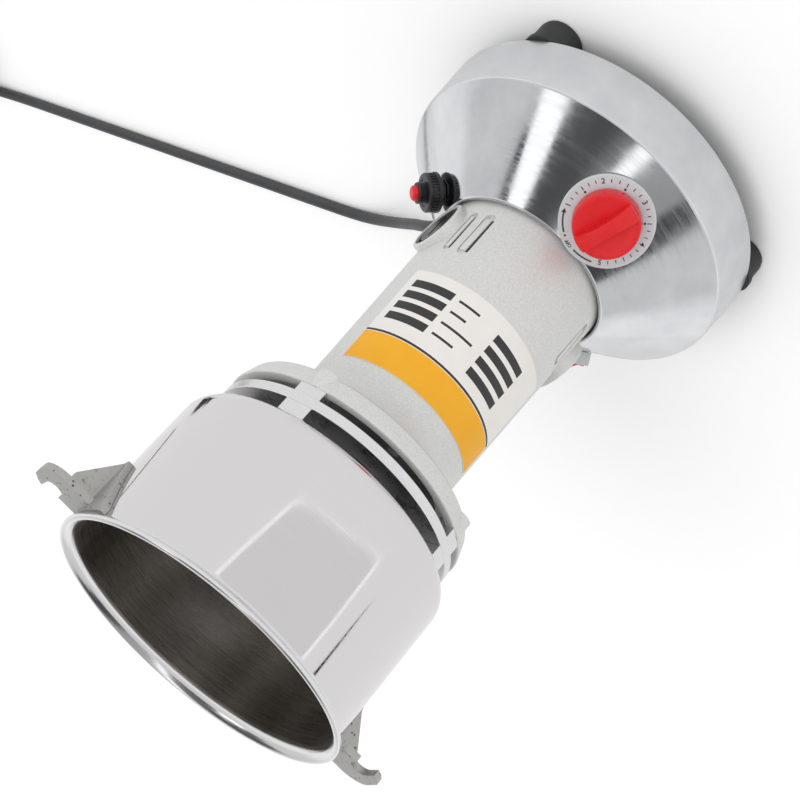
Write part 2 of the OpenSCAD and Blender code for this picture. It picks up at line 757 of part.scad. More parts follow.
module housing_screws() {
    color("silver") at_az(frame_az, frame_post_r, z_seat - shell_t - m4_head_h) {
        cylinder(r = m4_head_r, h = m4_head_h);
        cylinder(r = m4_r, h = m4_head_h + shell_t + 18);
    }
}

module lower_bracket() {
    disc_r = barrel_r - barrel_t - air;
    color("darkgray") difference() {
        union() {
            translate([0, 0, z_seat + seat]) cylinder(r = disc_r, h = bracket_t - seat);
            translate([0, 0, z_seat + seat])
                cylinder(r = lower_bearing[1] + 3, h = z_lower_bearing - z_seat + lower_bearing[2]);
        }
        translate([0, 0, z_lower_bearing]) cylinder(r = lower_bearing[1] + seat, h = lower_bearing[2] + 1);
        at_az(frame_az, frame_post_r, z_seat - 1) cylinder(r = m4_r + screw_gap, h = bracket_t + 2);
        at_az([0, 90, 180, 270], 22, z_seat - 1) cylinder(r = 5, h = bracket_t + 2);
    }
}

module lower_bearing() {
    color("silver") translate([0, 0, z_lower_bearing + seat])
        tube(lower_bearing[1], lower_bearing[0] + run, lower_bearing[2] - 2 * seat);
}

module upper_bearing() {
    color("silver") translate([0, 0, z_upper_bearing - 1 + seat])
        tube(upper_bearing[1], upper_bearing[0] + run, upper_bearing[2] - 1 - 3 * seat);
}

// ---- Brushes, on both sides ----

module brush_side() {
    at_az(brush_az, 0, brush_z) rotate([0, 90, 0]) children();
}

module brush_holders() {
    start = commutator_r + 3;
    color("peru") brush_side() difference() {
        translate([0, 0, start]) cylinder(r = holder_r, h = boss_reach - cap_depth - seat - start);
        translate([-brush_h / 2 - 0.1, -brush_w / 2 - 0.1, start - 1]) cube([brush_h + 0.2, brush_w + 0.2, 40]);
    }
}

module brushes() {
    color("#2c2c2e") brush_side() difference() {
        translate([-brush_h / 2, -brush_w / 2, commutator_r - 2]) cube([brush_h, brush_w, brush_l + 2]);
        rotate([0, 90, 0]) translate([0, 0, -brush_h]) cylinder(r = commutator_r + seat, h = 2 * brush_h);
    }
}

module brush_springs() {
    start = commutator_r + brush_l + seat;
    color("gold") brush_side() translate([0, 0, start])
        tube(2.6, 1.8, boss_reach - cap_depth - 2 * seat - start);
}

module brush_caps() {
    thickness = 4;
    color("#1b1b1d") brush_side() translate([0, 0, boss_reach - cap_depth]) difference() {
        union() {
            cylinder(r = cap_r, h = thickness - 1);
            cylinder(r = cap_r - 2, h = thickness);
        }
        translate([0, 0, thickness - 2]) plate_box([cap_r * 1.1, 2, 3]);
    }
}

// ---- Stator ----

module coil_leg(grow, z0, z1) {
    for (a = frame_az) rotate([0, 0, a - 9 - grow]) translate([0, 0, z0])
        rotate_extrude(angle = 18 + 2 * grow)
            translate([22 - grow / 3, 0]) square([9 + 2 * grow / 3, z1 - z0]);
}

module stator_core() {
    color("slategray") difference() {
        translate([0, 0, core_z]) tube(core_r, armature_r + air_gap, core_l);
        coil_leg(1, core_z - 1, core_z + core_l + 1);
    }
}

module field_coils() {
    end_h = 6;
    color("chocolate") for (side = [0, 180]) rotate([0, 0, side]) {
        intersection() {
            coil_leg(0, core_z - end_h, core_z + core_l + end_h);
            translate([-50, 0, 0]) cube([100, 50, z_rim]);
        }
        for (z = [core_z - end_h, core_z + core_l + 1]) translate([0, 0, z]) rotate([0, 0, 40])
            rotate_extrude(angle = 100) translate([22.3, 0]) square([8.4, end_h - 1]);
    }
}

// ---- Rotor ----

module rotor_shaft() {
    steps = [
        [lower_bearing[0], z_lower_bearing + 0.4], [shaft_r, z_lower_bearing + lower_bearing[2] + 1.5],
        [upper_bearing[0], z_upper_bearing - 3], [shaft_r, z_deck + 1],
        [m4_r * 2, z_upper_blade + blade_t], [0, shaft_end]
    ];
    color("lightsteelblue") for (k = [0 : len(steps) - 2])
        translate([0, 0, steps[k][1]]) cylinder(r = steps[k][0], h = steps[k + 1][1] - steps[k][1]);
}

module rotor_core() {
    slots = 12;
    color("gray") translate([0, 0, core_z]) difference() {
        tube(armature_r, shaft_r + seat, core_l);
        for (k = [1 : slots]) rotate([0, 0, k * 360 / slots])
            translate([armature_r - 1, -0.8, -1]) cube([3, 1.6, core_l + 2]);
    }
}

module rotor_winding() {
    inner = shaft_r + 1.5;
    outer = armature_r - 2;
    overhang = 8;
    dome = [[inner, 0], [outer, 0], [outer, 4], [outer - 3, overhang], [inner + 2, overhang], [inner, 6]];
    color("#b5602a") {
        translate([0, 0, core_z + core_l + seat]) rotate_extrude() polygon(dome);
        translate([0, 0, core_z - seat]) mirror([0, 0, 1]) rotate_extrude() polygon(dome);
    }
}

module commutator() {
    bars = 24;
    color("#c9803f") translate([0, 0, brush_z - commutator_l / 2]) difference() {
        tube(commutator_r, shaft_r + seat, commutator_l);
        for (k = [1 : bars]) rotate([0, 0, (k + 0.5) * 360 / bars])
            translate([commutator_r - 0.8, -0.25, -1]) cube([2, 0.5, commutator_l + 2]);
    }
}

module cooling_fan() {
    vanes = 9;
    color("#3a3c40") translate([0, 0, fan_z]) {
        tube(8, shaft_r + seat, 12);
        tube(fan_r, 7.5, 1.6);
        for (k = [1 : vanes]) rotate([0, 0, k * 360 / vanes])
            translate([12, -0.7, 1]) cube([fan_r - 13, 1.4, 9]);
    }
}

// ---- Cooling ring and shaft seal ----

module pad_sectors(z, h) {
    for (a = frame_az) rotate([0, 0, a - pad_arc / 2]) translate([0, 0, z])
        rotate_extrude(angle = pad_arc) translate([pad_in_r, 0]) square([ring_d / 2 - 0.2 - pad_in_r, h]);
}

module cooling_ring() {
    color("#dfe0e1") difference() {
        union() {
            translate([0, 0, z_ring]) tube(ring_d / 2, ring_in_r, ring_t);
            pad_sectors(z_flange, lower_pad_h + eps);
            pad_sectors(z_ring_top - eps, upper_pad_h + eps);
        }
        at_az(frame_az, bowl_screw_r, z_flange - 1)
            cylinder(r = m4_r + screw_gap, h = z_bowl - z_flange + 2);
    }
}

module seal_hub() {
    color("lightgray") difference() {
        union() {
            translate([0, 0, z_ring_top]) cylinder(r = hub_r, h = bowl_floor - z_ring_top + 1);
            translate([0, 0, bowl_floor + seat]) cylinder(r = hub_flange_r, h = hub_flange_h);
        }
        translate([0, 0, z_ring]) cylinder(r = shaft_r + 1, h = 40);
        translate([0, 0, bowl_floor - 4]) cylinder(r = seal_r + seat, h = 10);
    }
}

module seal_nut() {
    color("darkgray") translate([0, 0, z_ring_top + 0.5]) difference() {
        cylinder(r = 17, h = z_bowl - z_ring_top - 0.5 - seat, $fn = 6);
        translate([0, 0, -1]) cylinder(r = hub_r + seat, h = 20);
    }
}

module shaft_seal() {
    color("#2a2a2a") translate([0, 0, bowl_floor - 4 + seat])
        tube(seal_r, shaft_r + run, 4 + hub_flange_h - 0.5);
}

// ---- Blades ----

module blade_flat(length) {
    h = length / 2;
    w = blade_w / 2;
    linear_extrude(blade_t) difference() {
        polygon([
            [-h, -w / 3], [-h + 16, -w], [0, -w], [h - 16, -w], [h, w / 3], [h - 16, w], [0, w], [-h + 16, w]
        ]);
        circle(r = shaft_r + seat);
    }
}

module lower_blade() {
    color("#c9ccd0") translate([0, 0, z_lower_blade]) blade_flat(blade_l);
}

module blade_spacer() {
    color("silver") translate([0, 0, z_lower_blade + blade_t + seat])
        tube(8.5, shaft_r + seat, spacer_h - 2 * seat);
}

module upper_blade() {
    flat_l = upper_blade_l - 36;
    tip_l = 20;
    w = blade_w / 2 - 1;
    wing_w = w - 0.2;
    color("#c9ccd0") rotate([0, 0, 70]) translate([0, 0, z_upper_blade]) {
        linear_extrude(blade_t) difference() {
            square([flat_l, 2 * w], center = true);
            circle(r = shaft_r + seat);
        }
        for (s = [0, 180]) rotate([0, 0, s]) translate([flat_l / 2 - 0.4, 0, 0]) rotate([0, -35, 0])
            linear_extrude(blade_t) polygon([
                [0, -wing_w], [tip_l - 8, -wing_w], [tip_l, w / 2], [tip_l - 6, wing_w], [0, wing_w]
            ]);
    }
}

module blade_nut() {
    color("silver") translate([0, 0, z_upper_blade + blade_t + seat]) difference() {
        cylinder(r = 8, h = blade_nut_h, $fn = 6);
        translate([0, 0, -1]) cylinder(r = 2 * m4_r + seat, h = blade_nut_h + 2);
    }
}

// ---- Bowl ----

module bowl() {
    in_r = bowl_r - bowl_t;
    in_corner = corner_r - bowl_t;
    floor_r = bowl_r - corner_r;
    outside = [for (a = [0 : 15 : 90]) [floor_r + corner_r * sin(a), z_bowl + corner_r * (1 - cos(a))]];
    inside = [for (a = [90 : -15 : 0]) [floor_r + in_corner * sin(a), bowl_floor + in_corner * (1 - cos(a))]];
    rim = [
        [bowl_r, z_rim - rim_t - 1.8], [bowl_r + 0.9, z_rim - rim_t - 0.4], [rim_r - 1.3, z_rim - rim_t],
        [rim_r - 0.3, z_rim - rim_t + 0.5], [rim_r, z_rim - rim_t / 2], [rim_r - 0.25, z_rim - 0.6],
        [rim_r - 0.8, z_rim], [rim_r - 2.3, z_rim], [rim_r - 3.4, z_rim - 0.8],
        [in_r + 0.9, z_rim - 2.2], [in_r + 0.2, z_rim - 4], [in_r, z_rim - 6]
    ];
    color("#c4c6c9") difference() {
        rotate_extrude() polygon(concat(
            [[hub_r + seat, z_bowl]], outside, rim, inside, [[hub_r + seat, bowl_floor]]
        ));
        at_az(frame_az, bowl_screw_r, z_bowl - 1) cylinder(r = m4_r + screw_gap, h = bowl_t + 2);
    }
}

module bowl_screws() {
    color("silver") at_az(frame_az, bowl_screw_r, z_deck - 1) {
        cylinder(r = m4_r, h = bowl_floor + 0.5 - z_deck + 1);
        translate([0, 0, bowl_floor + seat - z_deck + 1]) cylinder(r = m4_head_r, h = m4_head_h);
    }
}

// A claw stands on the +X side of the bowl; its mouth opens towards +Y
module claw() {
    wall_r = bowl_r + 2 * seat;
    plate_arc = 17;
    mouth_x = bowl_r + 14.3;
    mouth_y = 11.9;
    mouth_r = 3.9;
    arm_r = 10.2;
    lobe_y = 16.4;
    z0 = z_rim - rim_t - 1.9 - claw_h;
    rib_reach = mouth_x - 0.3;
    difference() {
        union() {
            // Wall plate: wide under the rim, pointed below
            intersection() {
                rotate([0, 0, -plate_arc - 3]) translate([0, 0, z0]) rotate_extrude(angle = 2 * plate_arc + 6)
                    translate([wall_r, 0]) square([claw_t, claw_h]);
                translate([0, 0, z0]) rotate([90, 0, 90]) linear_extrude(2 * bowl_r)
                    polygon([[-3, 0], [3, 0], [20, claw_h - 3], [20, claw_h], [-20, claw_h], [-20, claw_h - 3]]);
            }
            // Upright rib under the hook plate
            translate([0, 1.3, 0]) rotate([90, 0, 0]) linear_extrude(2.6) polygon([
                [wall_r + 1, z0 + 1], [wall_r + claw_t, z0 + 1], [rib_reach, z_hook - 4],
                [rib_reach, z_hook + eps], [wall_r + 1, z_hook + eps]
            ]);
            // Hook plate
            translate([0, 0, z_hook]) linear_extrude(hook_t) {
                translate([wall_r + 0.8, -5.6]) square([mouth_x - wall_r, 12]);
                translate([wall_r + 0.8, 0]) square([mouth_x - mouth_r - 1 - wall_r, lobe_y]);
                translate([mouth_x - 0.4, arm_r - 5.6]) circle(r = arm_r);
                polygon([[mouth_x + 2, mouth_y - 4], [mouth_x + 9.8, 5], [mouth_x + 9.4, 14],
                         [mouth_x + 6.5, 18], [mouth_x + 3, 20.4]]);
            }
        }
        // Mouth that takes the lid's bar
        translate([mouth_x, mouth_y, z_hook - 1]) {
            cylinder(r = mouth_r, h = hook_t + 2);
            translate([-mouth_r, 0, 0]) cube([2 * mouth_r, 20, hook_t + 2]);
        }
    }
}

module claw_left() {
    color("#8d8d8b") claw();
}

module claw_right() {
    color("#8d8d8b") rotate([0, 0, 180]) claw();
}

base_shell();
base_plate();
base_plate_screws();
feet();
foot_screws();
dial_plate();
timer_knob();
timer_shaft();
timer_case();
timer_screws();
breaker_body();
breaker_collar();
breaker_nut();
reset_button();
switch_frame();
switch_body();
switch_rocker();
terminal_block();
suppressor();
cord_gland();
cord_free();
cord_coil();
cord_tie();
plug_body();
plug_pins();
motor_housing();
label();
housing_screws();
lower_bracket();
lower_bearing();
upper_bracket();
bracket_screws();
upper_bearing();
brush_holders();
brushes();
brush_springs();
brush_caps();
stator_core();
field_coils();
rotor_shaft();
rotor_core();
rotor_winding();
commutator();
cooling_fan();
cooling_ring();
seal_hub();
seal_nut();
shaft_seal();
lower_blade();
blade_spacer();
upper_blade();
blade_nut();
bowl();
bowl_screws();
claw_left();
claw_right();
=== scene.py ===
# An electric grain mill: the looks of its visible pieces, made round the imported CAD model.
# Pieces are modelled in millimetres, in the CAD's own places, and turned to metres at the end.
import json
import math

import bmesh
import bpy
from mathutils import Matrix, Vector


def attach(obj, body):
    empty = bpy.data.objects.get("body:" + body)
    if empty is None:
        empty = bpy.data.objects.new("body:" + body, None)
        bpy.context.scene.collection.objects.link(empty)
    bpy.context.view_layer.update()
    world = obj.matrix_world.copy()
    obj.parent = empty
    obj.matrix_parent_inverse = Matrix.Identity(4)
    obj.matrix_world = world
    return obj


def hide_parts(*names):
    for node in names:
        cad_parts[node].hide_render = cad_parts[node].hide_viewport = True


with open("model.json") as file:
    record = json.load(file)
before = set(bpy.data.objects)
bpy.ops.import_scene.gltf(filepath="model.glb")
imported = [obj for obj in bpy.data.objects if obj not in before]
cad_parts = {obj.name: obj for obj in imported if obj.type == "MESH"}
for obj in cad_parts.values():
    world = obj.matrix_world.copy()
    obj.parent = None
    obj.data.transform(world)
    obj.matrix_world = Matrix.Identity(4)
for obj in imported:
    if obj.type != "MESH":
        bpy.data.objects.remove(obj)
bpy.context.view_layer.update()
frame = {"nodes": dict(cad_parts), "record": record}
record = frame["record"]
scene = bpy.context.scene
MM = 0.001
slot_of = {part["node"]: part["material_slot"] for part in record["subparts"]}
body_of = {node: body for body, nodes in record["behaviour"]["bodies"].items() for node in nodes}


# ---- Camera, solved from the outlines in the photograph ----

def aim_camera():
    data = bpy.data.cameras.new("camera")
    data.sensor_width = 36
    data.lens = 75.6502
    data.clip_end = 50
    camera = bpy.data.objects.new("camera", data)
    scene.collection.objects.link(camera)
    right = Vector((-0.66547237, -0.46067589, -0.58730252))
    down = Vector((-0.71892455, 0.18398606, 0.67029592))
    forward = Vector((-0.20073369, 0.86828961, -0.45362885))
    eye = Vector((147.63778, -626.22318, 491.19184)) * MM
    axes = Matrix((right, -down, -forward)).transposed().to_4x4()
    camera.matrix_world = Matrix.Translation(eye) @ axes
    scene.camera = camera


aim_camera()


# ---- Small tools for shapes ----

def turn(axis, degrees):
    return Matrix.Rotation(math.radians(degrees), 4, axis)


def move(x, y, z):
    return Matrix.Translation((x, y, z))


def at_az(az, r=0, z=0):
    """A station at an angle round Z, a radius and a height: +X points outwards."""
    return turn("Z", az) @ move(r, 0, z)


# Measures of the CAD that more than one piece uses
SKIRT_R, SKIRT_Z = 84, 14.5
CREASE_R, CREASE_Z, CONE_TOP_R, CONE_TOP_Z = 82.85, 40.6, 43.8, 75.2
CONE_TILT = math.degrees(math.atan2(CONE_TOP_Z - CREASE_Z, CREASE_R - CONE_TOP_R))
BARREL_R, BARREL_TOP_R, BARREL_Z, BARREL_L = 41, 38.7, 70.2, 114
FLARE_Z, DECK_Z, FLANGE_Z = 184.2, 200.6, 209.7
BOWL_R, BOWL_Z = 66.6, 225.5      # outside radius and underside
FRAME_AZ, FRAME_R = (45, 135, 225, 315), 54.5      # posts and screws that carry the bowl
NECK_BORE = 5.05      # what goes round the breaker's 10 mm neck
STILL = Matrix.Identity(4)


def on_cone(az, r):
    """A station on the base's cone: +Z along its normal, +X down the slope."""
    height = CREASE_Z + (CREASE_R - r) * (CONE_TOP_Z - CREASE_Z) / (CREASE_R - CONE_TOP_R)
    return at_az(az, r, height) @ turn("Y", CONE_TILT)


DIAL = on_cone(-90.2, 58)
BREAKER = on_cone(15, 51)


def rounded(corners, steps=5):
    """Rounds each corner that has a third number, the distance at which its curve starts."""
    outline = []
    for i, corner in enumerate(corners):
        here = Vector(corner[:2])
        if len(corner) < 3:
            outline.append(here)
            continue
        before, after = Vector(corners[i - 1][:2]), Vector(corners[(i + 1) % len(corners)][:2])
        start = here + (before - here).normalized() * corner[2]
        end = here + (after - here).normalized() * corner[2]
        for k in range(steps + 1):
            t = k / steps
            outline.append(start * (1 - t) ** 2 + here * 2 * t * (1 - t) + end * t * t)
    return outline


def turned(corners, steps=192, sweep=360):
    """A profile of [radius, height] corners spun round Z. Both ends on the axis leave it open there."""
    shape = bmesh.new()
    verts = [shape.verts.new((p.x, 0, p.y)) for p in rounded(corners)]
    on_axis = corners[0][0] == 0 and corners[-1][0] == 0
    pairs = list(zip(verts, verts[1:])) + ([] if on_axis else [(verts[-1], verts[0])])
    edges = [shape.edges.new(pair) for pair in pairs]
    bmesh.ops.spin(shape, geom=verts + edges, cent=(0, 0, 0), axis=(0, 0, 1),
                   angle=math.radians(sweep), steps=steps, use_merge=sweep == 360)
    if sweep < 360:
        bmesh.ops.holes_fill(shape, edges=shape.edges, sides=0)
    bmesh.ops.remove_doubles(shape, verts=shape.verts, dist=0.0005)
    bmesh.ops.recalc_face_normals(shape, faces=shape.faces)
    return shape


def band(r0, r1, z0, z1):
    """A plain four-cornered profile."""
    return [(r0, z0), (r1, z0), (r1, z1), (r0, z1)]


def thread(root, crest, z, end, pitch):
    """The corners of a thread's profile, from z up to its end."""
    corners = []
    while z < end:
        corners += [(root, z), (crest, z + pitch / 2 - 0.05), (crest, z + pitch / 2 + 0.05)]
        z += pitch
    return corners


def soften(shape, width, segments=3, sharper_than=30):
    """Bevels the edges that turn by more than an angle."""
    edges = [e for e in shape.edges
             if len(e.link_faces) == 2 and e.calc_face_angle() > math.radians(sharper_than)]
    bmesh.ops.bevel(shape, geom=edges, offset=width, segments=segments, profile=0.5,
                    affect="EDGES", material=-1, clamp_overlap=True)
    return shape


def block(size, edge=0.0, segments=3):
    """A box round the origin, its edges rounded if an edge is given."""
    shape = bmesh.new()
    bmesh.ops.create_cube(shape, size=1)
    bmesh.ops.scale(shape, vec=size, verts=shape.verts)
    return soften(shape, edge, segments) if edge else shape


def rod(r, z0, z1, sides=48):
    """A round bar along Z."""
    shape = bmesh.new()
    bmesh.ops.create_cone(shape, cap_ends=True, segments=sides, radius1=r, radius2=r, depth=z1 - z0)
    bmesh.ops.translate(shape, vec=(0, 0, (z0 + z1) / 2), verts=shape.verts)
    return shape


def slab(outline, z0, z1):
    """An outline of [x, y] points made as thick as z0 to z1."""
    shape = bmesh.new()
    face = shape.faces.new([shape.verts.new((x, y, z0)) for x, y in outline])
    grown = bmesh.ops.extrude_face_region(shape, geom=[face])["geom"]
    verts = [g for g in grown if isinstance(g, bmesh.types.BMVert)]
    bmesh.ops.translate(shape, vec=(0, 0, z1 - z0), verts=verts)
    bmesh.ops.recalc_face_normals(shape, faces=shape.faces)
    return shape


def cad_copy(node, edge=0.0, segments=2, sharper_than=30):
    """A CAD node's own shape, merged, with its hard edges rounded."""
    shape = bmesh.new()
    shape.from_mesh(frame["nodes"][node].data)
    bmesh.ops.scale(shape, vec=(1 / MM,) * 3, verts=shape.verts)
    bmesh.ops.remove_doubles(shape, verts=shape.verts, dist=0.002)
    bmesh.ops.dissolve_limit(
        shape, angle_limit=math.radians(1), verts=shape.verts, edges=shape.edges)
    return soften(shape, edge, segments, sharper_than) if edge else shape


def placed(shape, place):
    """The shape, moved to a place."""
    bmesh.ops.transform(shape, matrix=place, verts=shape.verts)
    return shape


def as_mesh(shape, name="spare"):
    """Turns a shape to a mesh and frees it."""
    mesh = bpy.data.meshes.new(name)
    shape.to_mesh(mesh)
    shape.free()
    return mesh


def together(*parts):
    """Joins (shape, place, material number) parts in one mesh."""
    whole = bmesh.new()
    for shape, place, number in parts:
        placed(shape, place)
        if number:
            for face in shape.faces:
                face.material_index = number
        mesh = as_mesh(shape)
        whole.from_mesh(mesh)
        bpy.data.meshes.remove(mesh)
    return whole


def carved(shape, tool, operation="DIFFERENCE"):
    """The shape with the tool cut from it or joined to it."""
    objects = [bpy.data.objects.new("spare", as_mesh(s)) for s in (shape, tool)]
    for o in objects:
        scene.collection.objects.link(o)
    cut = objects[0].modifiers.new("cut", "BOOLEAN")
    cut.object, cut.operation, cut.solver = objects[1], operation, "EXACT"
    result = bmesh.new()
    result.from_object(objects[0], bpy.context.evaluated_depsgraph_get())
    for o in objects:
        bpy.data.meshes.remove(o.data)
    return result


def curve_shape(o):
    """The shape of a curve or text object, which is then removed."""
    mesh = bpy.data.meshes.new_from_object(o.evaluated_get(bpy.context.evaluated_depsgraph_get()))
    shape = bmesh.new()
    shape.from_mesh(mesh)
    bpy.data.meshes.remove(mesh)
    bpy.data.curves.remove(o.data)
    return shape


def printed(text, height, thick=0.02):
    """Flat print of a number or short word, centred, its top towards +Y."""
    curve = bpy.data.curves.new("print", "FONT")
    curve.body, curve.extrude = text, thick
    curve.size = height / 0.7      # a capital is 0.7 of the font's size
    curve.offset = 0.07            # bolder strokes
    curve.align_x, curve.align_y = "CENTER", "CENTER"
    curve.resolution_u = 4
    o = bpy.data.objects.new("print", curve)
    scene.collection.objects.link(o)
    shape = curve_shape(o)
    bmesh.ops.remove_doubles(shape, verts=shape.verts, dist=0.0005)
    return shape


def make(name, shape, *nodes, place=STILL, more=(), sharp=32):
    """Finishes a piece that stands for CAD nodes: metres, normals, shading, body and finish."""
    bmesh.ops.transform(shape, matrix=Matrix.Scale(MM, 4) @ place, verts=shape.verts)
    bmesh.ops.recalc_face_normals(shape, faces=shape.faces)
    for face in shape.faces:
        face.smooth = True
    for edge in shape.edges:
        edge.smooth = len(edge.link_faces) == 2 and edge.calc_face_angle(0) < math.radians(sharp)
    piece = bpy.data.objects.new(name, as_mesh(shape, name))
    scene.collection.objects.link(piece)
    slot = slot_of[nodes[0]]
    for material in (FINISH[slot], *more):
        piece.data.materials.append(material)
    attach(piece, body_of[nodes[0]])
    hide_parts(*nodes)
    return piece


# ---- Finishes ----

def linear(code):
    """An sRGB hex value as a linear colour."""
    parts = [int(code[i:i + 2], 16) / 255 for i in (1, 3, 5)]
    return tuple(c / 12.92 if c <= 0.04045 else ((c + 0.055) / 1.055) ** 2.4 for c in parts) + (1.0,)


def add(tree, kind, settings=None, sockets=None):
    """Adds a node with its settings; a socket's value is a constant or another node's output."""
    node = tree.nodes.new(kind)
    for name, value in (settings or {}).items():
        setattr(node, name, value)
    for name, value in (sockets or {}).items():
        if isinstance(value, bpy.types.NodeSocket):
            tree.links.new(value, node.inputs[name])
        else:
            node.inputs[name].default_value = value
    return node


def start(name, colour, **constants):
    """A new material: its tree, shader and Object coordinates."""
    material = bpy.data.materials.new(name)
    material.use_nodes = True
    material.diffuse_color = linear(colour)
    tree = material.node_tree
    tree.nodes.clear()
    sockets = {key.replace("_", " ").title().replace("Ior", "IOR"): value
               for key, value in constants.items()}
    shader = add(tree, "ShaderNodeBsdfPrincipled", None, {"Base Color": linear(colour), **sockets})
    add(tree, "ShaderNodeOutputMaterial", None, {"Surface": shader.outputs[0]})
    coords = add(tree, "ShaderNodeTexCoord").outputs["Object"]
    return material, tree, shader, coords


def grain(tree, coords, size_mm, stretch=(1, 1, 1), detail=3.0, roughness=0.55):
    """Noise with features of a real size; a stretch above 1 packs them closer along that axis."""
    spread = add(tree, "ShaderNodeMapping", {"vector_type": "POINT"}, {
        "Vector": coords, "Scale": stretch})
    return add(tree, "ShaderNodeTexNoise", None, {
        "Vector": spread.outputs[0], "Scale": 1 / (size_mm * MM),
        "Detail": detail, "Roughness": roughness}).outputs[0]


def mottle(tree, shader, value, first, second, from_low=0.3, from_high=0.7):
    """Colours the surface between two close colours."""
    factor = add(tree, "ShaderNodeMapRange", None, {
        "Value": value, "From Min": from_low, "From Max": from_high}).outputs[0]
    mix = add(tree, "ShaderNodeMix", {"data_type": "RGBA"}, {
        0: factor, 6: linear(first), 7: linear(second)})
    tree.links.new(mix.outputs[2], shader.inputs["Base Color"])


def emboss(tree, shader, value, depth_mm, strength=0.5):
    """Lifts the surface by a real depth."""
    bump = add(tree, "ShaderNodeBump", None, {
        "Strength": strength, "Distance": depth_mm * MM, "Height": value})
    tree.links.new(bump.outputs[0], shader.inputs["Normal"])


def roughen(tree, shader, value, low, high):
    """Lets the roughness run between two values."""
    rough = add(tree, "ShaderNodeMapRange", None, {
        "Value": value, "From Min": 0.3, "From Max": 0.7, "To Min": low, "To Max": high})
    tree.links.new(rough.outputs[0], shader.inputs["Roughness"])


def polished_aluminium():
    # Cast aluminium, turned and polished by hand: soft streaked reflections and rings 0.8 mm
    # apart, about the closest that show, with the upright skirt left more satin than the cone
    material, tree, shader, coords = start("polished cast aluminium", "#D6D7DA", metallic=1.0)
    streak = grain(tree, coords, 40, (1, 1, 50), 4.0, 0.6)
    cloud = grain(tree, coords, 16)
    height = add(tree, "ShaderNodeSeparateXYZ", None, {"Vector": coords}).outputs["Z"]
    rough = 0      # rings, clouds and the satin below the crease add up
    for value, from_low, from_high, low, high in (
            (streak, 0.3, 0.7, 0.08, 0.17), (cloud, 0.3, 0.7, -0.02, 0.05),
            (height, 39.8 * MM, 40.8 * MM, 0.22, 0)):
        share = add(tree, "ShaderNodeMapRange", None, {
            "Value": value, "From Min": from_low, "From Max": from_high,
            "To Min": low, "To Max": high}).outputs[0]
        rough = add(tree, "ShaderNodeMath", {"operation": "ADD"}, {0: rough, 1: share}).outputs[0]
    tree.links.new(rough, shader.inputs["Roughness"])
    mottle(tree, shader, cloud, "#D3D4D7", "#DFE0E2")
    emboss(tree, shader, streak, 0.006, 0.12)
    return material


def flake_enamel():
    # Silver-grey enamel with aluminium flake over the casting: a fine speckle that is drawn
    # at 0.7 mm, about the smallest that shows
    material, tree, shader, coords = start(
        "silver flake enamel", "#DADAD8", metallic=0.2, roughness=0.42,
        coat_weight=0.15, coat_roughness=0.3)
    speckle = grain(tree, coords, 0.7, detail=1.0)
    mottle(tree, shader, speckle, "#D4D4D1", "#E1E1DF", 0.35, 0.68)
    emboss(tree, shader, speckle, 0.025, 0.4)
    return material


def turned_metal(name, colour, roughness, spread=0.08, lines_mm=0.5, depth_mm=0.015, metallic=1.0):
    # Bare metal with the rings that turning or grinding round Z leaves. Real ones are finer than
    # the render shows, so they are drawn lines_mm apart along Z and 40 times as long round it.
    material, tree, shader, coords = start(name, colour, metallic=metallic)
    rings = grain(tree, coords, lines_mm * 40, (1, 1, 40), 3.0, 0.65)
    roughen(tree, shader, rings, roughness - spread, roughness + spread)
    emboss(tree, shader, rings, depth_mm, 0.35)
    return material


def mirror_steel():
    # Deep-drawn stainless sheet, buffed outside: clear reflections that waver a little
    material, tree, shader, coords = start("buffed stainless steel", "#E0DDDE", metallic=1.0)
    waver = grain(tree, coords, 14, (1, 1, 0.6), 1.0)
    haze = grain(tree, coords, 25, (1, 1, 30), 3.0)
    roughen(tree, shader, haze, 0.03, 0.10)
    emboss(tree, shader, waver, 0.05, 0.25)
    return material


def brushed_steel():
    # Stainless sheet brushed round the bowl's inside, which spreads its reflections upright. The lines
    # are drawn 0.34 mm apart, and broad upright bands of lighter and darker colour are painted
    # reflections, the upright streaks that brushed metal shows.
    material, tree, shader, coords = start(
        "brushed stainless steel", "#BDB8B3", metallic=1.0, anisotropic=0.6)
    # Painted reflections: upright streaks of lighter and darker colour in the base colour.
    painted_reflection_bands = grain(tree, coords, 30, (1, 1, 0.08), 1.0)
    mottle(tree, shader, painted_reflection_bands, "#A6A09A", "#D9D5D0", 0.35, 0.62)
    rings = grain(tree, coords, 24, (1, 1, 70), 4.0, 0.7)
    roughen(tree, shader, rings, 0.2, 0.4)
    emboss(tree, shader, rings, 0.006, 0.25)
    axis = add(tree, "ShaderNodeTangent", {"direction_type": "RADIAL", "axis": "Z"})
    tree.links.new(axis.outputs[0], shader.inputs["Tangent"])
    return material


def pitted_casting():
    # Small sand-cast iron lever parts, zinc washed: grainy grey with dark pits
    material, tree, shader, coords = start("pitted zinc-washed casting", "#ACABA8", metallic=0.75)
    lumps = grain(tree, coords, 2.2, detail=4.0, roughness=0.65)
    pits = add(tree, "ShaderNodeTexVoronoi", {"feature": "F1"}, {
        "Vector": coords, "Scale": 1 / (3.2 * MM)})
    pit = add(tree, "ShaderNodeMapRange", None, {
        "Value": pits.outputs["Distance"], "From Min": 0.1, "From Max": 0.2}).outputs[0]
    mixed = add(tree, "ShaderNodeMath", {"operation": "MULTIPLY"}, {0: lumps, 1: pit}).outputs[0]
    mottle(tree, shader, mixed, "#56534E", "#B2B1AE", 0.1, 0.45)
    roughen(tree, shader, lumps, 0.3, 0.55)
    emboss(tree, shader, mixed, 0.25, 0.7)
    return material


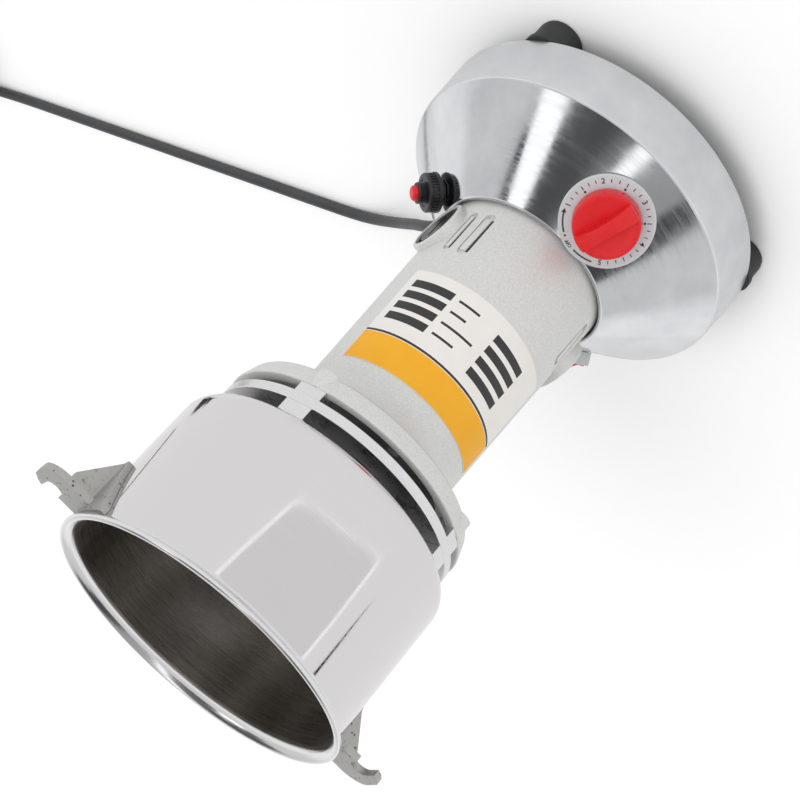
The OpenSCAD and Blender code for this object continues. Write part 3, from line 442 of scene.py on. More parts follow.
def moulded(name, colour, shade, roughness, grain_mm=0.8, depth_mm=0.01, **constants):
    # Moulded plastic, rubber or film: even colour, slightly uneven gloss and a faint grain, which
    # is drawn grain_mm wide because the real one is too fine to show
    material, tree, shader, coords = start(name, colour, **constants)
    skin = grain(tree, coords, grain_mm, detail=2.0)
    cloud = grain(tree, coords, 9, detail=2.0)
    mottle(tree, shader, cloud, colour, shade)
    roughen(tree, shader, cloud, roughness - 0.04, roughness + 0.05)
    emboss(tree, shader, skin, depth_mm, 0.4)
    return material


FINISH = {
    "polished_base": polished_aluminium(),
    "housing_paint": flake_enamel(),
    "machined_ring": turned_metal("machined aluminium", "#E3E3E4", 0.3, 0.1, 0.5, 0.03),
    "dial_face": turned_metal("satin aluminium foil", "#D2D4D7", 0.42, 0.04, 0.6, 0.004, 0.3),
    "bowl_steel": mirror_steel(),
    "blade_steel": turned_metal("ground blade steel", "#C6C8CB", 0.26, 0.08, 0.7, 0.02),
    "bright_steel": turned_metal("nickel-plated steel", "#CACBCE", 0.24, 0.05, 0.5, 0.008),
    "dark_steel": turned_metal("oiled steel", "#6A6965", 0.45, 0.08, 0.8, 0.02, 0.9),
    "cast_claw": pitted_casting(),
    "plate_steel": turned_metal("galvanised steel plate", "#8E9093", 0.42, 0.08, 3.0, 0.02, 0.85),
    "black_rubber": moulded("black rubber", "#2A2B2C", "#333435", 0.6, 0.9, 0.03),
    "cord_rubber": moulded("dark grey cord PVC", "#3A3C3F", "#424447", 0.45, 1.2, 0.01),
    "black_plastic": moulded("black phenolic", "#1E1E20", "#27272A", 0.38),
    "grey_plastic": moulded("light grey ABS", "#C6C8C8", "#CFD0D0", 0.4),
    "red_plastic": moulded("red ABS", "#DC2026", "#E0262B", 0.28, specular_ior_level=0.35),
    "white_plastic": moulded("ivory nylon", "#E9E7E1", "#DEDBD2", 0.45),
    "label_film": moulded("white label film", "#EFECE7", "#F2EFEA", 0.35, 2.5, 0.004),
    "copper": turned_metal("enamelled copper wire", "#B4682F", 0.35, 0.06, 0.6, 0.05),
    "brass": turned_metal("brass", "#C9A24B", 0.3, 0.06, 0.6, 0.01),
    "carbon": moulded("carbon", "#2C2C2E", "#38383A", 0.6),
}
# Black for the printed marks, also used in the motor housing for strips of painted shade in its vent
# slots.
PRINT_AND_SHADE_BLACK = moulded("black print and painted shade", "#2A2A2C", "#303032", 0.5)
AMBER = moulded("amber film", "#FAB32A", "#FBB830", 0.45, 2.5, 0.004, specular_ior_level=0.2)
INSIDE = brushed_steel()
RIM = turned_metal("polished rolled edge", "#E2E2E3", 0.2, 0.06, 0.5, 0.01)

# The CAD's own meshes, which the unseen pieces keep, take the same finishes
for part in record["subparts"]:
    mesh = frame["nodes"][part["node"]].data
    mesh.materials.clear()
    mesh.materials.append(FINISH[part["material_slot"]])


# ---- Mains lead ----

# The lead's centre from the gland to the coil, as in the CAD
ROUTE = [
    (23.4, 103, 22.5), (24.9, 109.6, 22.5), (26.4, 116.2, 21.5), (27.9, 124.2, 19.1),
    (29.3, 133, 15.9), (30.7, 142.6, 12.8), (32.3, 152.4, 9.8), (34.6, 162, 7.4),
    (37.5, 171.5, 5.5), (41.2, 180.6, 4.2), (46.1, 189.5, 3.4), (53, 198.9, 3.1),
    (60.7, 208.1, 3.1), (69.6, 218.5, 3.1), (80.1, 230.8, 3.1), (93.4, 246.3, 3.1),
    (106.4, 261.6, 3.1), (120.3, 277.9, 3.1), (133.9, 293.9, 3.1), (148.5, 310.9, 3.1),
    (163.3, 328.3, 3.1), (178.5, 346.1, 3.1), (193.5, 363.7, 3.1), (208.8, 381.6, 3.1),
    (223.8, 399.2, 3.1), (234.2, 411.4, 3.3), (244.6, 423.5, 3.8), (255, 435.7, 4.4),
    (264.6, 448.5, 4.4)]
CORD_R = 3.1
COIL_TURNS, COIL_PITCH, COIL_R, COIL_Z = 4.4, 6.8, 42.5, 4.4
COIL_HEADING = math.degrees(math.atan2(4, 3))      # the way the lead runs into its coil
COIL_SPAN = COIL_TURNS * 360
COIL_LEAD = 2 * CORD_R      # straight run between the route's end and the coil
PLUG_HEADING = COIL_HEADING - COIL_SPAN


def heading(degrees):
    """A level direction."""
    a = math.radians(degrees)
    return Vector((math.cos(a), math.sin(a), 0))


COIL_CENTRE = (Vector(ROUTE[-1]) + COIL_LEAD * heading(COIL_HEADING)
               + COIL_R * heading(COIL_HEADING - 90))


def coil_point(t):
    """The lead's centre t degrees along the coil, as in the CAD: in, across its middle, and out."""
    r = COIL_R - COIL_PITCH * (COIL_SPAN / 2 - abs(t - COIL_SPAN / 2)) / 360
    c = min(1, max(0, (t - COIL_SPAN / 2 + 90) / 180))
    point = COIL_CENTRE + r * heading(COIL_HEADING + 90 - t)
    point.z = COIL_Z + COIL_PITCH * c * c * (3 - 2 * c)      # the upper layer starts half way
    return point


def flowing(points, steps=4):
    """A smooth Catmull-Rom line through the points, in steps from each to the next."""
    line = []
    for i in range(len(points) - 1):
        a, b, c, d = (points[min(max(i + k, 0), len(points) - 1)] for k in (-1, 0, 1, 2))
        for k in range(steps):
            t = k / steps
            line.append(b + 0.5 * t * ((c - a) + t * ((2 * a - 5 * b + 4 * c - d)
                                                   + t * (3 * (b - c) + d - a))))
    return line + [points[-1]]


LEAD_END = coil_point(COIL_SPAN) + 2 * COIL_LEAD * heading(PLUG_HEADING)


def mains_lead():
    """The whole lead, its length and its centre line."""
    coil = [coil_point(15 * k) for k in range(int(COIL_TURNS * 24) + 1)] + [coil_point(COIL_SPAN)]
    line = flowing([Vector(p) for p in ROUTE] + coil + [LEAD_END])
    curve = bpy.data.curves.new("mains_lead", "CURVE")
    curve.dimensions = "3D"
    curve.bevel_depth = CORD_R * MM
    curve.bevel_resolution = 5
    curve.use_fill_caps = True
    spline = curve.splines.new("POLY")
    spline.points.add(len(line) - 1)
    for point, place in zip(spline.points, line):
        point.co = (*(place * MM), 1)
    spline.use_smooth = True
    guide = bpy.data.objects.new("guide", curve)
    scene.collection.objects.link(guide)
    shape = curve_shape(guide)
    bmesh.ops.remove_doubles(shape, verts=shape.verts, dist=0.000001)
    bmesh.ops.scale(shape, vec=(1 / MM,) * 3, verts=shape.verts)
    lead = make("mains_lead", shape, "cord_free", "cord_coil")
    length = sum((b - a).length for a, b in zip(line, line[1:])) * MM
    return lead, length, [list(p * MM) for p in line]


def mains_plug():
    """A moulded three-pin plug without its pins: a ribbed boot and a body with side grips."""
    ribs = [(CORD_R + 0.15, 0), (CORD_R + 1, 0)]
    for k in range(6):
        x, r = 2.5 + k * 3.2, 4.4 + k * 0.42
        ribs += [(r, x), (r + 0.5, x + 0.3), (r + 0.5, x + 1.5), (r, x + 1.8)]
    ribs += [(7, 22.5), (CORD_R + 0.15, 22.5)]
    shoulder = turned([(0, 3.5), (7.2, 3.5, 1), (8.2, 0), (0, 0)], 48)
    parts = [(turned(ribs, 64), turn("Y", 90), 0), (block((30, 27, 22.4), 4.2, 6), move(37, 0, 0), 0),
             (shoulder, move(23.2, 0, 0) @ turn("Y", -90), 0)]
    for side in (-1, 1):
        for k in range(5):
            parts.append((block((1.2, 1.2, 13), 0.4, 2), move(31 + k * 2.6, side * 13.2, 0), 0))
    return make("mains_plug", together(*parts), "plug_body",
                place=Matrix.Translation(LEAD_END) @ turn("Z", PLUG_HEADING))


def strain_relief():
    """The rubber gland where the lead leaves the skirt, with six ribs that taper along it."""
    x, y, z = ROUTE[0]
    length = math.hypot(x, y) - SKIRT_R - 0.4
    pitch = (length - 2.7) / 6.5
    profile = [(0, -7), (4.7, -7), (4.7, 0), (8, 0, 0.6), (8, 2.5, 0.6), (6.2, 2.5, 0.3)]
    for k in range(1, 7):
        foot, r = 2.5 + k * pitch, 6.15 - k * 0.27
        profile += [(r - 0.6, foot - 0.1), (r, foot, 0.2), (r - 0.1, foot + pitch / 2, 0.2),
                    (r - 0.7, foot + pitch / 2 + 0.1)]
    profile += [(0, length)]
    return make("cord_gland_rubber", turned(profile, 64), "cord_gland",
                place=at_az(math.degrees(math.atan2(y, x)), SKIRT_R + 0.3, z) @ turn("Y", 90))


lead, lead_length, lead_path = mains_lead()
plug = mains_plug()
pins = make("mains_plug_pins", cad_copy("plug_pins", 0.4, 3), "plug_pins")
gland = strain_relief()
tie = make("lead_tie", cad_copy("cord_tie", 0.45, 3), "cord_tie")


# ---- Base ----

def base_casting():
    """The cast cone and skirt, the pad that carries the dial, and a dark gasket round the barrel."""
    wall = [
        (SKIRT_R, SKIRT_Z, 0.8), (CREASE_R, CREASE_Z, 1.3), (CONE_TOP_R, CONE_TOP_Z, 0.3),
        (43.4, 75.8, 0.3), (42.5, 75.8, 0.3), (42.1, 75.4, 0.3), (42.1, BARREL_Z), (29, BARREL_Z),
        (29, 67.7), (44.6, 67.7), (44.6, 71.15), (80.35, 39.47), (81.5, SKIRT_Z, 0.5)]
    pad = rod(17, -3.5, 0.3, 96)
    gasket = turned(band(41.15, 42.05, 70.25, 73), 192)
    shell = carved(turned(wall, 288), placed(rod(NECK_BORE, -9, 6, 64), BREAKER))
    return together((shell, STILL, 0), (pad, DIAL, 0), (gasket, STILL, 1))


def rubber_foot():
    """A foot with a hollow for its screw, its flange against the base."""
    return turned([
        (5, 0, 0.3), (10.5, 0, 0.9), (11.25, 1.8, 0.9), (11.05, 11.3, 0.4), (12, 11.7, 0.3),
        (12, SKIRT_Z, 0.3), (2.15, SKIRT_Z), (2.15, 7.25), (5, 7.25)], 96)


FOOT_AZ, FOOT_R = (-30, -150, 90), 74
make("base_casting", base_casting(), "base_shell", more=(PRINT_AND_SHADE_BLACK,), sharp=40)
make("rubber_feet", together(*[(rubber_foot(), at_az(az, FOOT_R), 0) for az in FOOT_AZ]), "feet")


# ---- Timer dial and knob ----

DIAL_TOP = 1.8
PRINT_Z = DIAL_TOP + 0.02
NUMBERS = {"OFF": 170.5, "1": 115.3, "2": 55.4, "3": -11.8, "4": -73.1, "5": -139.2}      # degrees


def dial():
    """The dial plate with its edge line, numbers, ticks, dots, two arcs and an arrow."""
    plate = turned([(5, 0.3), (20.95, 0.3, 0.3), (20.95, DIAL_TOP, 0.8), (5, DIAL_TOP)], 160)
    edge_line = turned(band(20.0, 20.2, DIAL_TOP - 0.1, DIAL_TOP + 0.03), 160)
    parts = [(plate, STILL, 0), (edge_line, STILL, 0)]

    def mark(shape, phi, r):
        parts.append((shape, turn("Z", phi) @ move(r, 0, PRINT_Z) @ turn("Z", -90), 1))

    for text, phi in NUMBERS.items():
        height, r = (1.5, 18.9) if text == "OFF" else (2.3, 18.0)
        mark(printed(text, height), phi, r)
    minutes = [phi for text, phi in NUMBERS.items() if text != "OFF"]
    for first, second in zip(minutes, minutes[1:]):
        for k in range(1, 6):
            phi = first + (second - first) * k / 6
            mark(block((0.42, 1.5 if k != 3 else 1.9, 0.04)), phi, 18.1)
            if k == 3:
                mark(rod(0.55, -0.02, 0.02, 24), phi, 16.1)
    mark(rod(0.5, -0.02, 0.02, 24), 158.5, 18.8)
    for low, high in ((127, 154), (-179, -150)):
        arc = turned(band(18.45, 19.15, -0.02, 0.02), 24, high - low)
        parts.append((arc, turn("Z", low) @ move(0, 0, PRINT_Z), 1))
    arrow = slab([(-1.1, -1.0), (1.1, -1.0), (0, 1.1)], -0.02, 0.02)
    parts.append((arrow, turn("Z", 124) @ move(18.8, 0, PRINT_Z) @ turn("Z", 180), 1))
    return together(*parts)


GRIP_TOP, CROWN_R = 14, 30      # the grip's height, and the curve of its top along its length


def knob():
    """A round knob with two finger hollows, a waisted bar across it and a raised pointer tip."""
    base = turned([
        (0, 6.6), (10, 7.3, 2.0), (14.5, 7.9, 1.5), (15.1, 1.1, 0.7), (14.4, 0, 0.4), (0, 0)], 160)
    half = [(-14.2, 3.9), (-12, 3.75), (-8, 3.3), (-4, 3.05), (0, 3.0),
            (4, 3.05), (8, 3.3), (12, 3.75), (14.2, 3.9)]
    outline = [(x, -y) for x, y in half] + [(x, y) for x, y in reversed(half)]
    bar = carved(slab(outline, 4.5, 15), rod(14.15, 3, 16, 160), "INTERSECT")
    arch = placed(rod(CROWN_R, -8, 8, 360), move(0, 0, GRIP_TOP - CROWN_R) @ turn("X", 90))
    grip = soften(carved(bar, arch, "INTERSECT"), 0.7, 4, 40)
    tip = slab([(13.2, 0), (11.6, 0.8), (11.6, -0.8)], 10.4, 11.6)
    return together((base, STILL, 0), (grip, STILL, 0), (tip, STILL, 0))


make("dial_plate_printed", dial(), "dial_plate", place=DIAL, more=(PRINT_AND_SHADE_BLACK,))
make("timer_knob_red", knob(), "timer_knob", place=DIAL @ turn("Z", 171) @ move(0, 0, 2.2))


# ---- Reset breaker and rocker switch ----

def threaded_neck():
    """The breaker's case, and its neck: a tube with a fine thread and a chamfered mouth."""
    case = [(0, -24), (6.5, -24, 0.5), (6.5, -8, 0.3), (5.0, -8), (5.0, 8.2)]
    mouth = [(4.9, 12.0), (4.55, 12.4, 0.2), (3.72, 12.4, 0.15), (3.72, -1.4), (0, -1.4)]
    return turned(case + thread(4.62, 5.0, 8.4, 11.8, 0.7) + mouth, 96)


def knurled_nut():
    """A round nut with two flanges and a knurl between them."""
    nut = turned([
        (NECK_BORE, 0), (9.1, 0, 0.4), (9.4, 0.5, 0.4), (9.4, 1.7, 0.4), (8.5, 2.0), (8.5, 4.7),
        (9.1, 5.0, 0.3), (9.1, 6.0, 0.4), (8.4, 6.5, 0.4), (6.4, 6.5, 0.2), (6.2, 6.1),
        (NECK_BORE, 6.1)], 96)
    knurl = [(block((0.9, 0.72, 3.1), 0.16, 2), turn("Z", k * 10) @ move(8.62, 0, 3.35), 0)
             for k in range(36)]
    return together((nut, STILL, 0), *knurl)


make("breaker_threaded", threaded_neck(), "breaker_body", place=BREAKER)
make("breaker_washer",
     turned([(NECK_BORE, 0.1), (6.2, 0.1, 0.2), (6.2, 2.15, 0.6), (NECK_BORE, 2.15)], 96),
     "breaker_collar", place=BREAKER)
make("breaker_knurled_nut", knurled_nut(), "breaker_nut", place=BREAKER @ move(0, 0, 2.2))
make("reset_button_red",
     turned([(0, 14.7), (2.4, 14.68, 0.3), (3.6, 14.1, 0.7), (3.6, 1), (0, 1)], 64),
     "reset_button", place=BREAKER)
make("switch_bezel", cad_copy("switch_frame", 0.45, 3), "switch_frame")
make("switch_rocker_red", cad_copy("switch_rocker", 0.35, 3), "switch_rocker")


# ---- Motor housing, label and brush caps ----

BRUSH_AZ, BRUSH_Z, BOSS_REACH, CAP_DEPTH = (-2, 178), 92.1, 43.2, 5.6
SLOTS = ((24.1, 4.2), (36.7, 5.6))      # degrees from a boss, width
SLOT_L, SLOT_MID_Z = 24.4, 95.1


def barrel_r(z):
    """The tapered barrel's radius at a height."""
    return BARREL_R + (BARREL_TOP_R - BARREL_R) * (z - BARREL_Z) / BARREL_L


def at_boss(az):
    """A station on a brush boss's axis: +Z out of the barrel."""
    return at_az(az, 0, BRUSH_Z) @ turn("Y", 90)


def slot_tool(width):
    """A cutter for an upright slot with round ends, pointing out along X from the slot's floor."""
    half = SLOT_L / 2 - 2.1      # half of the straight sides
    outline = []
    for k in range(25):
        a = math.radians(k * 15 if k < 13 else (k - 1) * 15)
        rise = half if k < 13 else -half
        outline.append((-(rise + width / 2 * math.sin(a)), width / 2 * math.cos(a)))
    return placed(slab(outline, 39.4, 43), move(0, 0, SLOT_MID_Z) @ turn("Y", 90))


def housing():
    """The barrel with its flare and flange, brush bosses, slots with their bars and black strips of
    painted shade, and inner posts.
    """
    flare = []
    for k in range(1, 24):
        t = k / 24
        bow = 0.16 * math.sin(math.pi * t)
        flare.append((BARREL_TOP_R + 17.9 * (t - bow), FLARE_Z + 16.4 * (t + bow)))
    wall = ([(38, BARREL_Z), (BARREL_R, BARREL_Z, 0.4), (39.9, 124.7), (BARREL_TOP_R, FLARE_Z, 1.2)]
            + flare
            + [(56.6, DECK_Z, 0.8), (57.6, 201.2, 0.8), (60.2, FLANGE_Z, 1.3), (55.2, FLANGE_Z, 0.4),
               (55.2, DECK_Z), (42.05, DECK_Z), (42.05, 196.1), (35.7, 196.1), (35.7, FLARE_Z)])
    boss = [(0, BOSS_REACH), (14, BOSS_REACH, 1.2), (14, 36.5), (0, 36.5)]
    bosses = together(*[(turned(boss, 96), at_boss(az), 0) for az in BRUSH_AZ])
    shape = carved(turned(wall, 256), bosses, "UNION")
    slots = [(turn("Z", az + side * off), side, width)
             for az in BRUSH_AZ for side in (-1, 1) for off, width in SLOTS]
    recesses = [(rod(12.15, BOSS_REACH - CAP_DEPTH, BOSS_REACH + 2, 96), at_boss(az), 0)
                for az in BRUSH_AZ]
    recesses += [(slot_tool(width), spot, 0) for spot, _, width in slots]
    shape = carved(shape, together(*recesses))
    bars = [(block((1.5, width - 2.2, 20.6), 0.5, 3), spot @ move(39.75, -side * 0.5, SLOT_MID_Z), 0)
            for spot, side, width in slots]
    # Black strips in each slot beside its bar are painted shade, standing for the dark gap there; they
    # are no real part.
    slot_shade_strips = [(block((0.5, 1.4, 21)), spot @ move(39.5, side * (width / 2 - 0.9), SLOT_MID_Z), 1)
              for spot, side, width in slots]
    posts = [(rod(5.5, DECK_Z, FLANGE_Z - 0.1, 48), at_az(az, FRAME_R), 0) for az in FRAME_AZ]
    return together((shape, STILL, 0), *bars, *slot_shade_strips, *posts)


def wrapped(az0, az1, z0, z1, lift, thick=0.04):
    """A thin film bent round the barrel."""
    steps = max(2, round(abs(az1 - az0)))
    profile = [(barrel_r(z0) + lift, z0), (barrel_r(z0) + lift + thick, z0),
               (barrel_r(z1) + lift + thick, z1), (barrel_r(z1) + lift, z1)]
    return turned(profile, steps, az1 - az0), turn("Z", az0)


def label():
    """White film with an amber band, a black line, and plain bars in place of print."""
    parts = [(*wrapped(-150, -20, 122.2, 176.2, 0.05, 0.25), 0),
             (*wrapped(-149.9, -20.1, 160.4, 176.1, 0.3), 1),
             (*wrapped(-149.9, -20.1, 158.9, 160.0, 0.3), 2)]
    for row in range(4):
        z = 128.0 + 6.6 * row
        parts.append((*wrapped(-56.2, -26, z, z + 4.2, 0.3), 2))
        parts.append((*wrapped(-122, -91.5, z + 2.0, z + 6.0, 0.3), 2))
        parts.append((*wrapped((-76, -72, -84, -76)[row], -60.5, z + 1.4, z + 2.6, 0.3), 2))
    return together(*parts)


def brush_cap():
    """A screw cap with a raised ring and a driver slot."""
    disc = turned([
        (0, 5.2), (9.6, 5.2, 0.4), (9.8, 4.1, 0.2), (10.7, 4.1, 0.2), (10.9, 4.9, 0.3),
        (12.1, 4.9, 0.4), (12.1, 0), (0, 0)], 96)
    return carved(disc, placed(block((13.3, 2.0, 3)), move(0, 0, 4.6)))


make("motor_housing_painted", housing(), "motor_housing", more=(PRINT_AND_SHADE_BLACK,), sharp=38)
make("label_printed", label(), "label", more=(AMBER, PRINT_AND_SHADE_BLACK))
make("brush_caps_slotted", together(*[
    (brush_cap(), at_boss(az) @ move(0, 0, BOSS_REACH - CAP_DEPTH), 0) for az in BRUSH_AZ]),
    "brush_caps")


# ---- Cooling ring ----

def ring_pad(z0, z1):
    """One of the pads under and over the ring, 12 degrees wide."""
    return placed(turned(band(49, 59.55, z0, z1), 12, 12), turn("Z", -6))


def cooling_ring():
    """The ring, held off the flange and the bowl by pads that leave air slots between them."""
    ring = turned([
        (46, 214.5, 0.3), (59.75, 214.5, 0.35), (59.75, 219.1, 0.35), (46, 219.1, 0.3)], 256)
    parts = [(ring, STILL, 0)]
    for az in FRAME_AZ:
        parts += [(ring_pad(FLANGE_Z, 214.6), turn("Z", az), 0),
                  (ring_pad(219.0, BOWL_Z), turn("Z", az), 0)]
    return together(*parts)


make("cooling_ring_machined", cooling_ring(), "cooling_ring")


# ---- Bowl, its screws and claws ----

SHEET = 1.5      # thickness of the bowl's sheet


def bowl_corner(r, z, angles):
    """The curve between the bowl's bottom, which lies at height z, and its side."""
    return [(58.1 + r * math.sin(math.radians(a)), z + r * (1 - math.cos(math.radians(a))))
            for a in angles]


def bowl():
    """The drawn bowl with its rolled rim. Material 1 is its inside, 2 its rim."""
    rim = [(BOWL_R, 299.2, 0.6), (67.5, 300.6, 0.5), (69.3, 301.0, 0.6), (70.6, 302.2, 0.9),
           (69.9, 303.7, 0.7), (68.3, 303.7, 0.5), (67.2, 302.9, 0.5), (66.0, 301.5, 0.6),
           (65.3, 299.7, 0.8), (65.1, 297.7, 0.8)]
    outside = [(11.05, BOWL_Z)] + bowl_corner(8.5, BOWL_Z, range(0, 91, 6))
    inside = bowl_corner(8.5 - SHEET, BOWL_Z + SHEET, range(90, -1, -6)) + [(11.05, BOWL_Z + SHEET)]
    shape = turned(outside + rim + inside, 288)
    for face in shape.faces:
        centre = face.calc_center_median()
        facing = face.normal.dot(Vector((centre.x, centre.y, 0)).normalized())
        if centre.z > 299.3:
            face.material_index = 2
        elif facing < -0.6 or facing < 0.2 and 226.5 < centre.z < 240:
            face.material_index = 1
    return shape


def pan_head(r, h, shank_r, depth):
    """A pan-head screw with a cross recess, its seat at Z = 0."""
    screw = turned([
        (0, h), (r * 0.55, h * 0.97, 0.3), (r, h * 0.45, 0.5), (r, 0, 0.1), (shank_r, 0),
        (shank_r, -depth, 0.2), (0, -depth)], 48)
    for size in ((r * 1.1, 0.8, 2), (0.8, r * 1.1, 2)):
        screw = carved(screw, placed(block(size), move(0, 0, h)))
    return screw


make("bowl_drawn", bowl(), "bowl", more=(INSIDE, RIM), sharp=50)
make("bowl_screws_pan", together(*[
    (pan_head(3.6, 2.4, 2, 26), at_az(az, FRAME_R, BOWL_Z + SHEET + 0.05), 0) for az in FRAME_AZ]),
    "bowl_screws")
for side in ("left", "right"):
    make(f"claw_{side}_cast", cad_copy(f"claw_{side}", 0.4, 3, 25), f"claw_{side}")


# ---- Shaft, seal and blades ----

def shaft():
    """The rotor's shaft, stepped for its bearings, with the thread of the blade nut."""
    steps = [(0, 75.6), (4, 75.6, 0.3), (4, 87.7), (5, 87.7, 0.2), (5, 188), (6, 188, 0.2),
             (6, 201.6, 0.2), (5, 201.6), (5, 248.5), (7.6, 248.5)]
    end = [(7.2, 257.5, 0.5), (0, 257.5)]
    return turned(steps + thread(7.6, 8.0, 250.2, 256, 0.8) + end, 64)


def hub():
    """The seal's hub in the bowl's bottom."""
    return turned([
        (6, 219.1), (11, 219.1, 0.3), (11, 227.05), (17, 227.05), (17, 229.55, 0.8),
        (8.05, 229.55, 0.2), (8.05, 223), (6, 223)], 96)


def flat_blade():
    """The lower blade, its two leading edges ground thin."""
    shape = cad_copy("lower_blade")
    for vert in shape.verts:
        x, y, z = vert.co
        if abs(x) > 20 and abs(y) > 2 and z > 236.5 and x * y > 0:      # top corners that lead
            vert.co.z -= 1.3
    return soften(shape, 0.25, 2)


def hex_nut(corner_r, h, bore):
    """A six-sided nut, chamfered above and below."""
    shape = carved(rod(corner_r, 0, h, 6), rod(bore, -1, h + 1, 48))
    envelope = turned([
        (0, -1), (corner_r * 0.87, -1), (corner_r + 0.2, 0.9), (corner_r + 0.2, h - 0.9),
        (corner_r * 0.87, h + 1), (0, h + 1)], 96)
    return soften(carved(shape, envelope, "INTERSECT"), 0.15, 2)


make("rotor_shaft_threaded", shaft(), "rotor_shaft")
make("seal_hub_turned", hub(), "seal_hub")
make("seal_rubber",
     turned([(5.1, 223.1), (7.95, 223.1), (7.95, 229, 0.3), (6.6, 229, 0.2), (5.1, 228.4, 0.4)], 64),
     "shaft_seal")
make("lower_blade_ground", flat_blade(), "lower_blade")
make("upper_blade_ground", cad_copy("upper_blade", 0.3, 2), "upper_blade")
make("blade_spacer_turned",
     turned([(5.1, 237.55), (8.5, 237.55, 0.5), (8.5, 246.45, 0.5), (5.1, 246.45)], 96),
     "blade_spacer")
make("blade_nut_hex", hex_nut(8, 7, 5), "blade_nut", place=move(0, 0, 248.55))


# ---- Floor, world and lamps ----

def floor():
    """White paper under the mill, which the camera sees a little brighter than the lamps make it."""
    shape = bmesh.new()
    bmesh.ops.create_grid(shape, x_segments=1, y_segments=1, size=6)
    material, tree, shader, coords = start("matt white paper sweep", "#F7F7F7", roughness=0.9)
    shader.inputs["Specular IOR Level"].default_value = 0.0
    camera_ray = add(tree, "ShaderNodeLightPath").outputs["Is Camera Ray"]
    paper = add(tree, "ShaderNodeMix", {"data_type": "RGBA"}, {
        0: camera_ray, 6: linear("#F7F7F7"), 7: (1.08, 1.08, 1.08, 1)})
    tree.links.new(paper.outputs[2], shader.inputs["Base Color"])
    sheet = bpy.data.objects.new("floor", as_mesh(shape, "floor"))
    sheet.data.materials.append(material)
    scene.collection.objects.link(sheet)


# What the ceiling shows in metal: a direction's X, and the light there
CEILING = [(-0.47, 0.06), (-0.43, 0.4), (-0.07, 0.43), (-0.02, 1.5),
           (0.07, 1.5), (0.12, 0.28), (0.3, 0.1), (0.95, 0.07)]


def studio_world():
    """Plain soft light for surfaces, and a white room with a dark ceiling in the metal.

    The walls dim from 15 to 21 degrees up, and the ceiling starts 41 degrees up.
    """
    world = bpy.data.worlds.new("studio")
    scene.world = world
    world.use_nodes = True
    tree = world.node_tree
    tree.nodes.clear()
    direction = add(tree, "ShaderNodeTexCoord").outputs["Generated"]
    parts = add(tree, "ShaderNodeSeparateXYZ", None, {"Vector": direction}).outputs
    overhead = add(tree, "ShaderNodeMapRange", {"interpolation_type": "SMOOTHSTEP"}, {
        "Value": parts["Z"], "From Min": 0.655, "From Max": 0.668}).outputs[0]
    across = add(tree, "ShaderNodeMapRange", None, {
        "Value": parts["X"], "From Min": -1, "From Max": 1}).outputs[0]
    ceiling = add(tree, "ShaderNodeValToRGB", None, {"Fac": across})
    stops = ceiling.color_ramp.elements
    for x, light in CEILING:
        stops.new((x + 1) / 2).color = (light, light, light, 1)
    stops.remove(stops[0])
    stops.remove(stops[len(stops) - 1])
    walls = add(tree, "ShaderNodeMapRange", None, {
        "Value": parts["Z"], "From Min": 0.26, "From Max": 0.36,
        "To Min": 1.0, "To Max": 0.74}).outputs[0]
    room = add(tree, "ShaderNodeMix", {"data_type": "FLOAT"}, {
        0: overhead, 2: walls, 3: ceiling.outputs["Color"]}).outputs[0]
    path = add(tree, "ShaderNodeLightPath")
    soft = add(tree, "ShaderNodeBackground", None, {"Color": (1, 1, 1, 1), "Strength": 0.78})
    seen = add(tree, "ShaderNodeBackground", None, {"Color": (1, 1, 1, 1), "Strength": 1.0})
    shine = add(tree, "ShaderNodeBackground", None, {"Color": (1, 1, 1, 1), "Strength": room})
    glossy = add(tree, "ShaderNodeMixShader", None, {
        0: path.outputs["Is Glossy Ray"], 1: soft.outputs[0], 2: shine.outputs[0]})
    either = add(tree, "ShaderNodeMath", {"operation": "MAXIMUM"}, {
        0: path.outputs["Is Camera Ray"], 1: path.outputs["Is Transmission Ray"]}).outputs[0]
    final = add(tree, "ShaderNodeMixShader", None, {
        0: either, 1: glossy.outputs[0], 2: seen.outputs[0]})
    add(tree, "ShaderNodeOutputWorld", None, {"Surface": final.outputs[0]})


def key_lamp():
    """A wide soft key that only surfaces see: in the cone it would wash out the dark zones."""
    key = bpy.data.lights.new("key", "SUN")
    key.energy = 0.7
    key.angle = math.radians(35)
    lamp = bpy.data.objects.new("key", key)
    lamp.rotation_euler = Vector((0.35, -0.45, 0.82)).to_track_quat("Z", "Y").to_euler()
    lamp.visible_glossy = False
    scene.collection.objects.link(lamp)


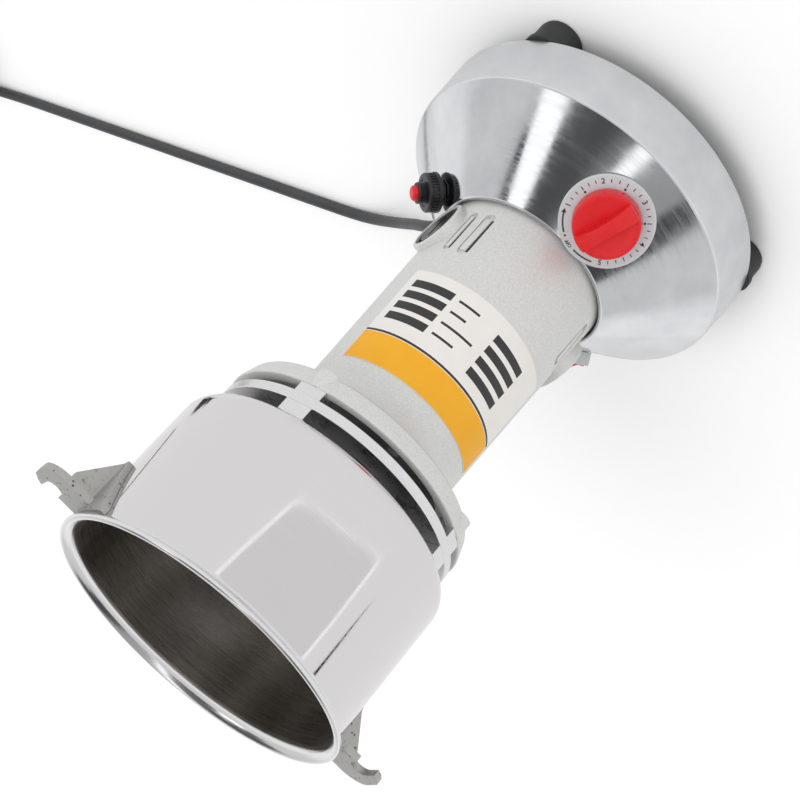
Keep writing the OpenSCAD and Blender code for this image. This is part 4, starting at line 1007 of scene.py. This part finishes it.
def card(name, outline, height, level):
    """A level sheet that shows only in polished metal, as a studio panel does."""
    shape = bmesh.new()
    shape.faces.new([shape.verts.new((p.x * MM, p.y * MM, height * MM)) for p in outline])
    sheet = bpy.data.objects.new(name, as_mesh(shape, name))
    material = bpy.data.materials.new(name)
    material.use_nodes = True
    tree = material.node_tree
    tree.nodes.clear()
    glow = add(tree, "ShaderNodeEmission", None, {"Color": (1, 1, 1, 1), "Strength": level})
    add(tree, "ShaderNodeOutputMaterial", None, {"Surface": glow.outputs[0]})
    sheet.data.materials.append(material)
    scene.collection.objects.link(sheet)
    sheet.visible_camera = sheet.visible_diffuse = False
    sheet.visible_shadow = sheet.visible_transmission = False


def in_bowl(corners, height, steps=6):
    """The outline of a level sheet that the camera sees in the bowl at these [az, Z] corners."""
    outline = []
    eye = scene.camera.matrix_world.translation / MM
    corners = rounded(corners)
    for here, after in zip(corners, corners[1:] + corners[:1]):
        for k in range(steps):
            az, z = here.lerp(after, k / steps)
            spot = at_az(az, BOWL_R, z).translation
            ray = (spot - eye).reflect(heading(az))
            outline.append(spot + ray * ((height - z) / ray.z))
    return outline


def cards():
    """A light panel by the bowl, dark strips beside it and a long lamp above the cone."""
    card("panel_edge", in_bowl([
        (-70.3, 237.6, 5), (-86.8, 236.3), (-105.8, 233.8, 4), (-107, 264.3),
        (-107, 297, 4), (-85.4, 298), (-65.3, 296.3, 4), (-67.4, 266.6)], 20), 20, 1.12)
    card("panel", in_bowl([
        (-71.6, 239, 5), (-86.8, 237.6), (-104.6, 235.1, 4), (-105.8, 264.3),
        (-105.8, 295.6, 4), (-85.4, 296.6), (-66.8, 294.9, 4), (-68.8, 266.6)], 22), 22, 0.78)
    card("dark_strip", in_bowl([
        (-113.2, 250), (-113.4, 250), (-115, 298, 1), (-113.4, 298)], 22), 22, 0.05)
    for name, outline, height, level in (
            ("dark_strip_left", ((308, 497), (568, 571), (564, 586), (303, 510)), 22, 0.1),
            ("long_lamp", ((1932, -349), (1511, -751), (711, -151), (1132, 251)), 1544, 1.5)):
        card(name, [Vector(corner) for corner in outline], height, level)


floor()
studio_world()
key_lamp()
cards()
scene.view_settings.view_transform = "Standard"
